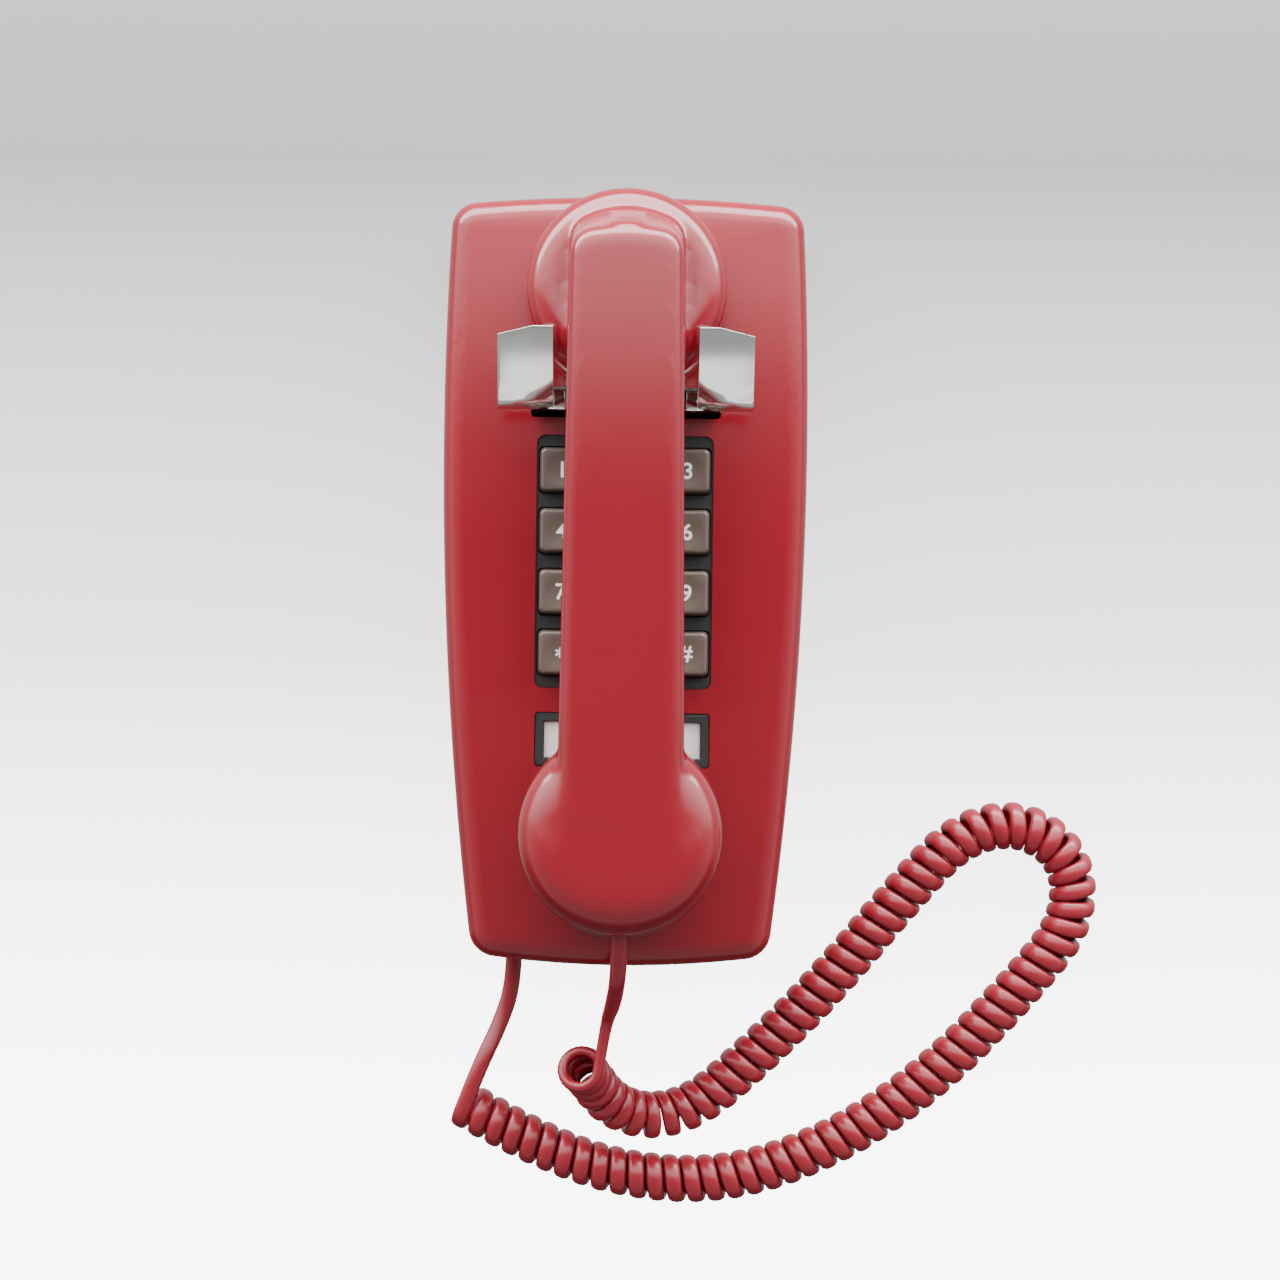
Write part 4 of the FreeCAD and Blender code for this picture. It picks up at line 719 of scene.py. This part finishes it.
@dataclass
class Handset:
    """The handset's shell, its forms flowing into each other, and its two screwed caps."""

    rounding: float = 0.5 * MM
    voxel: float = 0.8 * MM
    even_rounds: int = 8
    flow_rounds: int = 40
    flow_y: Pair = (-0.044, -0.056)
    flow_z: Pair = (0.076, 0.086)
    crest_y: Pair = (0.088, 0.096)
    crest_flow: float = 0.3
    smoothing: float = 0.5
    back_z: float = 0.105
    dome_y: float = -0.0725
    dome_radius: float = 29.2 * MM
    dome_base: Pair = (0.066, 0.076)
    dome_edge: Pair = (8.0 * MM, 12.0 * MM)
    dome_flat: Pair = (-0.079, 0.017)
    dome_fall: Pair = (2.8, 6.0)
    dome_step: float = 0.8 * MM
    step_x: Pair = (0.0165, 0.0195)
    step_y: Pair = (-0.084, -0.068)
    arch_y: float = 0.020
    arch_fall: float = 0.55
    dome_skirt: Pair = (0.0715, 0.0785)
    dome_columns: int = 90
    dome_rings: int = 8
    cavity_radius: float = 25.8 * MM
    bore: Triple = (4.4 * MM, -0.0712, 0.0988)
    bore_room: float = 0.04
    chamfer_y: float = 0.0990
    chamfer_bow: float = 6.0
    chamfer_slope: float = 1.05
    chamfer_blend: float = 2.0 * MM

    @staticmethod
    def higher(first: float, second: float, blend: float) -> float:
        """The larger of two heights, rounded where they are nearly equal."""
        near = max(0.0, 1 - abs(first - second) / blend)
        return max(first, second) + near * near * blend / 4

    def flow(self, place: Vector) -> float:
        """How freely the surface flows at a place: most over the transmitter, some at the far end."""
        dome = ramp(place.y, *self.flow_y) * ramp(place.z, *self.flow_z)
        crest = self.crest_flow * ramp(place.y, *self.crest_y) * ramp(place.z, *self.flow_z)
        return max(dome, crest)

    def edge(self, along: float, reach: float) -> float:
        """How far the transmitter end's edge is rounded, more at its low end."""
        low_share = max(0.0, -along / reach) ** 3 if reach else 0.0
        return self.dome_edge[0] + (self.dome_edge[1] - self.dome_edge[0]) * low_share

    def crown(self, x: float, y: float) -> float:
        """Height of the transmitter end's back: nearly flat, falling to its rim and a little sideways."""
        along = y - self.dome_y
        reach = math.hypot(x, along)
        edge = self.edge(along, reach)
        flat_y, flat_x = self.dome_flat
        fall_y, fall_x = self.dome_fall
        fall = fall_y * max(0.0, y - flat_y) ** 2 + fall_x * max(0.0, abs(x) - flat_x) ** 2
        fall += self.dome_step * ramp(abs(x), *self.step_x) * ramp(y, *self.step_y)
        over = min(edge, max(0.0, reach - (self.dome_radius - edge)))
        return self.back_z - fall - edge + math.sqrt(edge * edge - over * over)

    def dome(self) -> bpy.types.Object:
        """A solid for the transmitter end: a disc under the crown, with a skirt, clear of the bore."""
        shape = bmesh.new()
        skirt_z, ceiling_z = self.dome_skirt
        under = ((self.dome_radius, skirt_z), (self.cavity_radius, skirt_z), (self.cavity_radius, ceiling_z))
        rings = [ring / self.dome_rings for ring in range(1, self.dome_rings + 1)]
        columns = []
        for step in range(self.dome_columns):
            angle = 2 * math.pi * step / self.dome_columns
            out = Vector((math.cos(angle), math.sin(angle), 0.0))
            edge = self.edge(out.y, 1.0)
            flat = self.dome_radius - edge
            reaches = [flat * ring for ring in rings]
            reaches += [flat + edge * math.sin(math.pi / 2 * ring) for ring in rings]
            column = [(out.x * r, self.dome_y + out.y * r) for r in reaches]
            column = [(x, y, self.crown(x, y)) for x, y in column]
            column += [(out.x * r, self.dome_y + out.y * r, z) for r, z in under]
            columns.append([shape.verts.new(place) for place in column])
        top = shape.verts.new((0.0, self.dome_y, self.crown(0.0, self.dome_y)))
        bottom = shape.verts.new((0.0, self.dome_y, ceiling_z))
        for here, beside in zip(columns, columns[1:] + columns[:1]):
            shape.faces.new((top, here[0], beside[0]))
            for ring in range(len(here) - 1):
                shape.faces.new((here[ring], here[ring + 1], beside[ring + 1], beside[ring]))
            shape.faces.new((bottom, beside[-1], here[-1]))
        bmesh.ops.recalc_face_normals(shape, faces=shape.faces)
        piece = from_bmesh("transmitter_end", shape)
        half_bore, bore_low_y, bore_high_z = self.bore
        size = Vector((2 * half_bore, self.bore_room, self.bore_room))
        middle = Vector((0.0, bore_low_y + size.y / 2, bore_high_z - size.z / 2))
        block = bmesh.new()
        place = Matrix.Translation(middle) @ Matrix.Diagonal((*size, 1.0))
        bmesh.ops.create_cube(block, size=1.0, matrix=place)
        cutter = from_bmesh("bore_cutter", block)
        cut = piece.modifiers.new("bore", "BOOLEAN")
        cut.operation, cut.object, cut.solver = "DIFFERENCE", cutter, "EXACT"
        piece = baked(piece)
        bpy.data.objects.remove(cutter)
        return piece

    def domed(self, place: Vector) -> Vector:
        """Where a point of the shell's outside goes at the transmitter end: inside the dome's outline."""
        across, along = place.x, place.y - self.dome_y
        reach = math.hypot(across, along)
        share = ramp(place.z, *self.dome_base)
        if share == 0 or along > 0:
            return place
        moved = place.copy()
        if reach > self.dome_radius:
            shrink = 1 + (self.dome_radius / reach - 1) * share
            moved.x, moved.y = across * shrink, self.dome_y + along * shrink
        moved.z += min(0.0, self.crown(moved.x, moved.y) - place.z) * share
        return moved

    def carved(self, place: Vector) -> Vector:
        """Where a point of the shell's outside goes: onto a flatter end, or a slanted crest."""
        half_bore, bore_low_y, bore_high_z = self.bore
        if abs(place.x) < half_bore and place.y > bore_low_y and place.z < bore_high_z:
            return place
        if place.y > self.arch_y:
            moved = place.copy()
            lift = ramp(place.z, *self.flow_z)
            moved.z -= self.arch_fall * (place.y - self.arch_y) ** 2 * lift
            edge = self.chamfer_y - self.chamfer_bow * place.x ** 2
            if place.y > edge - self.chamfer_blend and place.z > self.flow_z[1]:
                crest = self.back_z - self.arch_fall * (edge - self.arch_y) ** 2
                slant = crest - (place.y - edge) * self.chamfer_slope
                moved.z = -self.higher(-moved.z, -slant, self.chamfer_blend)
            return moved
        return self.domed(place)

    def evened(self, piece: bpy.types.Object) -> bpy.types.Object:
        """The piece remeshed in even cells."""
        remesh = piece.modifiers.new("even", "REMESH")
        remesh.mode, remesh.voxel_size, remesh.use_smooth_shade = "VOXEL", self.voxel, True
        return baked(piece)

    def shell(self, frame: dict) -> bpy.types.Object:
        """The shell in even cells, carved at both ends, then smoothed, most where it flows."""
        piece = self.evened(node_copy(frame, "handset_shell", "handset_body"))
        for vertex in piece.data.vertices:
            vertex.co = self.carved(vertex.co)
        dome = self.dome()
        joined = bmesh.new()
        joined.from_mesh(piece.data)
        joined.from_mesh(dome.data)
        joined.to_mesh(piece.data)
        joined.free()
        bpy.data.objects.remove(dome)
        piece = self.evened(piece)
        group = piece.vertex_groups.new(name="flow")
        for vertex in piece.data.vertices:
            weight = self.flow(vertex.co)
            if weight > 0:
                group.add([vertex.index], weight, "REPLACE")
        for name, rounds, where in (("even", self.even_rounds, ""), ("flow", self.flow_rounds, "flow")):
            smooth = piece.modifiers.new(name, "SMOOTH")
            smooth.factor, smooth.iterations, smooth.vertex_group = self.smoothing, rounds, where
        piece = baked(piece)
        piece.data.shade_smooth()
        return piece

    def build(self, frame: dict) -> None:
        """Makes the shell and smooths the caps."""
        finish_piece(self.shell(frame), HANDSET_RED, "handset", "handset_shell")
        for node in ("receiver_cap", "transmitter_cap"):
            rounded_copy(frame, node, node + "_shell", self.rounding, HANDSET_RED, "handset")


@dataclass
class Hook:
    """The chromed hook cradle: its ears are dished, and fold over along a slanted crease."""

    rounding: float = 0.7 * MM
    cell: float = 0.8 * MM
    snap: float = 1e-7
    segments: int = 4
    sharp_deg: float = 40.0
    ear_low_z: float = 0.0675
    ear_inner_x: float = 0.0175
    ear_box: tuple[Pair, Pair] = ((-0.038, 0.038), (0.048, 0.076))
    crease_at: Pair = (0.0204, 0.0583)
    crease_deg: float = 27.0
    fold_run: float = 6.5 * MM
    fold_drop: float = 3.0 * MM
    fold_start: float = 2.0 * MM
    ear_middle: Pair = (0.029, 0.064)
    belly: float = 0.5 * MM
    belly_reach: float = 11.0 * MM

    def lowered(self, place: Vector) -> float:
        """How far the ear's surface sinks at a place beyond the crease, and how far its middle bulges."""
        across = Vector((abs(place.x) - self.crease_at[0], place.y - self.crease_at[1]))
        angle = math.radians(self.crease_deg)
        beyond = -(across.x * math.sin(angle) + across.y * math.cos(angle))
        share = min(1.0, max(0.0, beyond / self.fold_run))
        middle_x, middle_y = self.ear_middle
        middle = math.hypot(abs(place.x) - middle_x, place.y - middle_y) / self.belly_reach
        return self.fold_drop * share * share - self.belly * max(0.0, 1 - middle * middle)

    def build(self, frame: dict) -> None:
        """Cuts the ears into small cells, then folds and dishes them."""
        piece = bevelled(node_copy(frame, "hook_cradle", "hook_cradle_chrome"), self.rounding, self.segments)
        shape = bmesh.new()
        shape.from_mesh(piece.data)
        for axis, (low, high) in enumerate(self.ear_box):
            count = int((high - low) / self.cell)
            for index in range(1, count):
                place, normal = Vector(), Vector()
                place[axis] = low + (high - low) * index / count
                normal[axis] = 1.0
                ears = [f for f in shape.faces if f.calc_center_median().z > self.ear_low_z - self.cell]
                geometry = [*ears, *{e for f in ears for e in f.edges}, *{v for f in ears for v in f.verts}]
                bmesh.ops.bisect_plane(shape, geom=geometry, plane_co=place, plane_no=normal, dist=self.snap)
        for vertex in shape.verts:
            if vertex.co.z > self.ear_low_z and abs(vertex.co.x) > self.ear_inner_x:
                rise = min(1.0, (vertex.co.z - self.ear_low_z) / self.fold_start)
                vertex.co.z -= self.lowered(vertex.co) * rise
        piece.data.clear_geometry()
        shape.to_mesh(piece.data)
        shape.free()
        piece.data.shade_smooth()
        piece.data.set_sharp_from_angle(angle=math.radians(self.sharp_deg))
        finish_piece(piece, CHROME, "hook", "hook_cradle")


# Keypad

@dataclass
class Keypad:
    """Faceplate and twelve keys with their marks."""

    mark_size: float = 6.6 * MM
    mark_proud: float = 0.05 * MM
    mark_sunk: float = 0.4 * MM
    mark_bold: float = 0.10 * MM
    mark_merge: float = 0.005 * MM
    mark_sharp_deg: float = 30.0
    plate_rounding: float = 0.3 * MM
    dish_radius: float = 38.0 * MM
    dish_depth: float = 0.35 * MM
    marks: Mapping[str, str] = field(default_factory=lambda: {"star": "*", "hash": "#"})
    names: tuple[str, ...] = ("1", "2", "3", "4", "5", "6", "7", "8", "9", "star", "0", "hash")

    def mark(self, key: str) -> bpy.types.Object:
        """A plain character that follows the key's dished top."""
        low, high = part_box("key_" + key)
        centre = Vector(((low.x + high.x) / 2, (low.y + high.y) / 2, high.z))
        curve = bpy.data.curves.new("mark", "FONT")
        curve.body = self.marks.get(key, key)
        curve.size = self.mark_size
        curve.align_x, curve.align_y = "CENTER", "CENTER"
        curve.resolution_u = 6
        curve.offset = self.mark_bold
        mesh = mesh_of(curve)
        shape = bmesh.new()
        shape.from_mesh(mesh)
        bpy.data.meshes.remove(mesh)
        bmesh.ops.remove_doubles(shape, verts=shape.verts, dist=self.mark_merge)
        xs, ys = [v.co.x for v in shape.verts], [v.co.y for v in shape.verts]
        middle = Vector(((min(xs) + max(xs)) / 2, (min(ys) + max(ys)) / 2, 0.0))
        for vertex in shape.verts:
            flat = vertex.co - middle
            rise = (flat.x ** 2 + flat.y ** 2) / (2 * self.dish_radius) - self.dish_depth
            vertex.co = centre + Vector((flat.x, flat.y, rise + self.mark_proud))
        sides = bmesh.ops.extrude_face_region(shape, geom=shape.faces[:])
        lowered = [g for g in sides["geom"] if isinstance(g, bmesh.types.BMVert)]
        bmesh.ops.translate(shape, verts=lowered, vec=(0.0, 0.0, -self.mark_sunk))
        bmesh.ops.recalc_face_normals(shape, faces=shape.faces)
        piece = from_bmesh("key_mark_" + key, shape)
        piece.data.set_sharp_from_angle(angle=math.radians(self.mark_sharp_deg))
        return piece

    def build(self, frame: dict) -> None:
        """Dresses the keys, their marks and the faceplate."""
        for key in self.names:
            piece = node_copy(frame, "key_" + key, "key_cap_" + key)
            finish_piece(piece, KEY_GREY, "key_" + key, "key_" + key)
            finish_piece(self.mark(key), MARK, "key_" + key)
        rounded_copy(frame, "keypad_faceplate", "keypad_front", self.plate_rounding, BLACK)


@dataclass
class CardHolder:
    """The number card under its window, in its dark frame."""

    frame_rounding: float = 0.25 * MM
    window_rounding: float = 0.2 * MM

    def build(self, frame: dict) -> None:
        """Rounds the frame and dresses card and window."""
        rounded_copy(frame, "card_frame", "card_holder", self.frame_rounding, BLACK)
        rounded_copy(frame, "card_window", "card_cover", self.window_rounding, CLEAR)
        dress_node(frame, "number_card", CARD)


# Repeated small pieces

class Unit(Enum):
    """What a row repeats: a small block, or a ring round the row's own line."""

    BLOCK = "block"
    RING = "ring"


@dataclass(frozen=True)
class Row:
    """Equal small pieces in a straight row across the telephone, repeated with Geometry Nodes."""

    name: str
    body: str
    finish: Finish
    unit: Unit
    middle: Triple
    size: Triple
    count: int
    pitch: float
    tilt_deg: float = 0.0

    def unit_end(self, tree: bpy.types.NodeTree, size: bpy.types.NodeSocket) -> bpy.types.NodeSocket:
        """Adds the nodes for one unit: a block of that size, or a ring with its wire and radius in it."""
        turn = tree.nodes.new("GeometryNodeTransform")
        if self.unit is Unit.BLOCK:
            unit = tree.nodes.new("GeometryNodeMeshCube")
            tree.links.new(size, unit.inputs["Size"])
            turn.inputs["Rotation"].default_value = (math.radians(self.tilt_deg), 0.0, 0.0)
        else:
            unit = tree.nodes.new("GeometryNodeCurveToMesh")
            radii = tree.nodes.new("ShaderNodeSeparateXYZ")
            tree.links.new(size, radii.inputs[0])
            for slot, axis, steps in (("Curve", "Y", 64), ("Profile Curve", "X", 8)):
                circle = tree.nodes.new("GeometryNodeCurvePrimitiveCircle")
                circle.inputs["Resolution"].default_value = steps
                tree.links.new(radii.outputs[axis], circle.inputs["Radius"])
                tree.links.new(circle.outputs["Curve"], unit.inputs[slot])
            turn.inputs["Rotation"].default_value = (0.0, math.radians(90.0), 0.0)
        tree.links.new(unit.outputs["Mesh"], turn.inputs["Geometry"])
        return turn.outputs["Geometry"]

    def group(self) -> tuple[bpy.types.NodeTree, dict[str, str]]:
        """The row's node group, and the identifiers of its inputs by name."""
        tree = bpy.data.node_groups.new(self.name, "GeometryNodeTree")
        kinds = {"Count": "Int", "Start": "Vector", "Step": "Vector", "Size": "Vector"}
        sockets = {label: tree.interface.new_socket(label, socket_type="NodeSocket" + kind).identifier
                   for label, kind in kinds.items()}
        tree.interface.new_socket("Geometry", in_out="OUTPUT", socket_type="NodeSocketGeometry")
        given, line, spread, real, painted, result = [tree.nodes.new(kind) for kind in (
            "NodeGroupInput", "GeometryNodeMeshLine", "GeometryNodeInstanceOnPoints",
            "GeometryNodeRealizeInstances", "GeometryNodeSetMaterial", "NodeGroupOutput")]
        painted.inputs["Material"].default_value = self.finish.material()
        for label, slot in (("Count", "Count"), ("Start", "Start Location"), ("Step", "Offset")):
            tree.links.new(given.outputs[label], line.inputs[slot])
        tree.links.new(line.outputs["Mesh"], spread.inputs["Points"])
        tree.links.new(self.unit_end(tree, given.outputs["Size"]), spread.inputs["Instance"])
        tree.links.new(spread.outputs["Instances"], real.inputs["Geometry"])
        for before, after in ((real, painted), (painted, result)):
            tree.links.new(before.outputs["Geometry"], after.inputs["Geometry"])
        return tree, sockets

    def build(self, frame: dict) -> None:
        """Makes the row as plain geometry."""
        piece = link(self.name, bpy.data.meshes.new(self.name))
        tree, sockets = self.group()
        modifier = piece.modifiers.new("row", "NODES")
        modifier.node_group = tree
        start = Vector(self.middle) - Vector(((self.count - 1) * self.pitch / 2, 0.0, 0.0))
        step = (self.pitch, 0.0, 0.0)
        for label, value in zip(sockets, (self.count, tuple(start), step, self.size)):
            modifier[sockets[label]] = value
        piece = baked(piece)
        if self.unit is Unit.RING:
            piece.data.shade_smooth()
        finish_piece(piece, self.finish, self.body)


BLADE = (0.42 * MM, 3.2 * MM, 1.2 * MM)
BLADE_PITCH = 1.1 * MM
TURN = (0.23 * MM, 6.85 * MM, 0.0)
ROWS: tuple[Row, ...] = (
    Row("base_plug_blades", "root", GOLD, Unit.BLOCK, (-0.0324, -0.10148, 0.0122), BLADE, 4, BLADE_PITCH),
    Row("handset_plug_blades", "handset", GOLD, Unit.BLOCK, (0.0, -0.09265, 0.06878), BLADE, 4, BLADE_PITCH,
        tilt_deg=10.0),
    Row("ringer_winding", "root", WINDING, Unit.RING, (0.0, -0.0932, 0.0119), TURN, 53, 0.44 * MM),
)


# Works inside

INNER_FINISHES: Mapping[Finish, tuple[str, ...]] = {
    PLATE: ("base_plate", "hook_bracket", "ringer_frame"),
    SCREW: ("cover_screws", "hook_pivot_pin", "hook_springs", "board_screws", "gong_screws", "clapper"),
    CREAM: ("switch_block", "switch_plunger", "wall_plug_carrier", "transmitter_contacts"),
    BLACK: ("keypad_tray", "transformer", "volume_wheel", "base_jack", "transmitter_unit", "handset_jack"),
    MAT_RUBBER: ("key_mat",),
    BOARD: ("keypad_board", "network_board"),
    CAN: ("capacitor", "receiver_unit"),
    BRASS: ("terminal_screws", "gong_left", "gong_right"),
    WINDING: ("ringer_coil",),
    CLEAR: ("wall_plug", "base_cord_plug", "handset_cord_plug"),
    WIRE: ("line_wires", "handset_wires"),
}


def dress_node(frame: dict, node: str, finish: Finish) -> None:
    """Gives a CAD node its finish and leaves its mesh alone."""
    slots = frame["nodes"][node].data.materials
    material = finish.material()
    if not slots:
        slots.append(material)
    for index in range(len(slots)):
        slots[index] = material


@dataclass
class Works:
    """Everything that the housing and the handset hide."""

    def build(self, frame: dict) -> None:
        """Dresses each inner node."""
        for finish, nodes in INNER_FINISHES.items():
            for node in nodes:
                dress_node(frame, node, finish)
            LOG.info("%d inner nodes in %s", len(nodes), finish.name)


# Studio

@dataclass(frozen=True)
class Lamp:
    """One soft rectangular lamp: its place, the point it faces, its width and height, and its watts."""

    name: str
    at: Triple
    aim: Triple
    size: Pair
    power: float

    def build(self) -> bpy.types.Object:
        """Makes the lamp."""
        data = bpy.data.lights.new(self.name, "AREA")
        data.shape = "RECTANGLE"
        data.size, data.size_y = self.size
        data.energy = self.power
        turn = (Vector(self.aim) - Vector(self.at)).to_track_quat("-Z", "Y")
        lamp = link(self.name, data)
        lamp.matrix_world = Matrix.Translation(self.at) @ turn.to_matrix().to_4x4()
        return lamp


@dataclass
class Studio:
    """Camera straight above, pale floor and soft light, strongest from beyond the top edge."""

    camera_at: Triple = (0.0050, -0.0174, 1.2)
    focal_px: float = 3889.0
    frame_px: float = 1280.0
    sensor_mm: float = 36.0
    roll_deg: float = 0.7
    floor_half: float = 3.0
    paper: Colour = (0.16, 0.16, 0.162)
    glow: Triple = (1.0, 0.30, 0.045)
    glow_strength: float = 8.0
    glow_y: Pair = (-0.17, 0.13)
    wall_light: Lamp = Lamp("wall_light", (0.0, 0.30, 0.13), (0.0, 0.0, 0.06), (1.1, 0.13), 5.5)
    hook_light: Lamp = Lamp("hook_card", (0.0, -0.78, 0.86), (0.0, 0.06, 0.07), (0.40, 0.30), 0.55)
    horizon: float = 0.12
    sky_peak: float = 5.0
    sky_above: Stops = (
        (-1.0, 0.30), (-0.5, 0.42), (-0.07, 0.27), (-0.01, 0.14), (0.10, 0.15), (0.135, 0.75), (0.18, 2.1),
        (0.26, 2.7), (0.45, 4.3), (1.0, 5.0))
    sky_sides: Stops = ((-1.0, 0.3), (-0.3, 0.45), (0.0, 1.1), (1.0, 1.1))
    sky_below: Stops = ((-1.0, 0.10), (-0.35, 0.12), (-0.1, 0.45), (0.3, 0.8), (1.0, 1.0))

    def camera(self) -> None:
        """The photograph's view: from 1.2 m above, a long lens."""
        data = bpy.data.cameras.new("studio_camera")
        data.sensor_width = self.sensor_mm
        data.lens = self.focal_px / self.frame_px * self.sensor_mm
        data.clip_start, data.clip_end = 0.05, 20.0
        camera = link("studio_camera", data)
        camera.location = self.camera_at
        camera.rotation_euler = (0.0, 0.0, math.radians(self.roll_deg))
        bpy.context.scene.camera = camera

    def floor(self) -> None:
        """A pale table that glows a little, brighter towards the near edge: painted light, whose emission
        hides shadows on it and lights nothing else.
        """
        shape = bmesh.new()
        bmesh.ops.create_grid(shape, x_segments=8, y_segments=8, size=self.floor_half)
        piece = from_bmesh("table_top", shape)
        paint = Paint("table paper")
        where = paint.node("SeparateXYZ", inputs={"Vector": paint.place()}, output="Y")
        low, high = self.glow_y
        fade = paint.node("MapRange", inputs={"Value": where, "From Min": low, "From Max": high})
        stops = tuple((index / 2, (level,) * 3) for index, level in enumerate(self.glow))
        glow = paint.node("ValToRGB", {"stops": stops}, {"Fac": fade}, output="Color")
        # Painted light: the emission grades the table brighter towards the near edge and washes out shadows
        # cast on it.
        paint.set(Base_Color=(*self.paper, 1.0), Roughness=0.9, Emission_Color=glow,
                  Emission_Strength=self.glow_strength, Specular_IOR_Level=0.1)
        piece.data.materials.append(paint.material)
        piece.visible_diffuse = piece.visible_glossy = False
        piece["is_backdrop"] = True

    def light(self) -> None:
        """A low lamp beyond the top edge, and a sky that is brightest there."""
        self.wall_light.build()
        sky = Sky("studio_sky")
        heading = sky.node("TexCoord", output="Generated")
        side, rise = [sky.node("SeparateXYZ", inputs={"Vector": heading}, output=axis) for axis in "YZ"]
        graded = [self.graded(sky, side, stops) for stops in (self.sky_below, self.sky_above, self.sky_sides)]
        below, above, sides = graded
        span = {"Value": rise, "From Min": -self.horizon, "From Max": self.horizon}
        share = sky.node("MapRange", inputs=span)
        sides = sky.node("VectorMath", {"operation": "SCALE"}, {0: sides, "Scale": 1 - rise})
        above = sky.node("VectorMath", {"operation": "ADD"}, {0: above, 1: sides})
        sky.set(Color=sky.blend(share, below, above), Strength=self.sky_peak)
        bpy.context.scene.world = sky.world

    def graded(self, sky: Sky, side: Term, stops: Sequence[Pair]) -> Term:
        """Grey levels by how far a direction leans up the telephone, as a share of the brightest."""
        fade = sky.node("MapRange", inputs={"Value": side, "From Min": -1.0, "From Max": 1.0})
        greys = tuple(((lean + 1) / 2, (level / self.sky_peak,) * 3) for lean, level in stops)
        return sky.node("ValToRGB", {"stops": greys}, {"Fac": fade}, output="Color")

    def card_on(self, piece: bpy.types.Object) -> None:
        """A small card that lights one piece alone, the chrome that it is there for."""
        lit = bpy.data.collections.new("card_lit")
        lit.objects.link(piece)
        self.hook_light.build().light_linking.receiver_collection = lit

    def build(self) -> None:
        """Sets up the whole studio."""
        self.camera()
        self.floor()
        self.light()


def corners() -> list[list[float]]:
    """The shown object's box as plain numbers."""
    low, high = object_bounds()
    return [list(low), list(high)]


def main() -> None:
    """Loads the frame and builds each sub-assembly."""
    logging.basicConfig(level=logging.INFO, format="%(name)s: %(message)s")
    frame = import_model()
    studio = Studio()
    studio.build()
    CurlyCord().build(frame)
    for assembly in (Housing(), Handset(), Hook(), Keypad(), CardHolder(), Works(), *ROWS):
        assembly.build(frame)
    studio.card_on(bpy.data.objects["hook_cradle_chrome"])


if __name__ == "__main__":
    main()
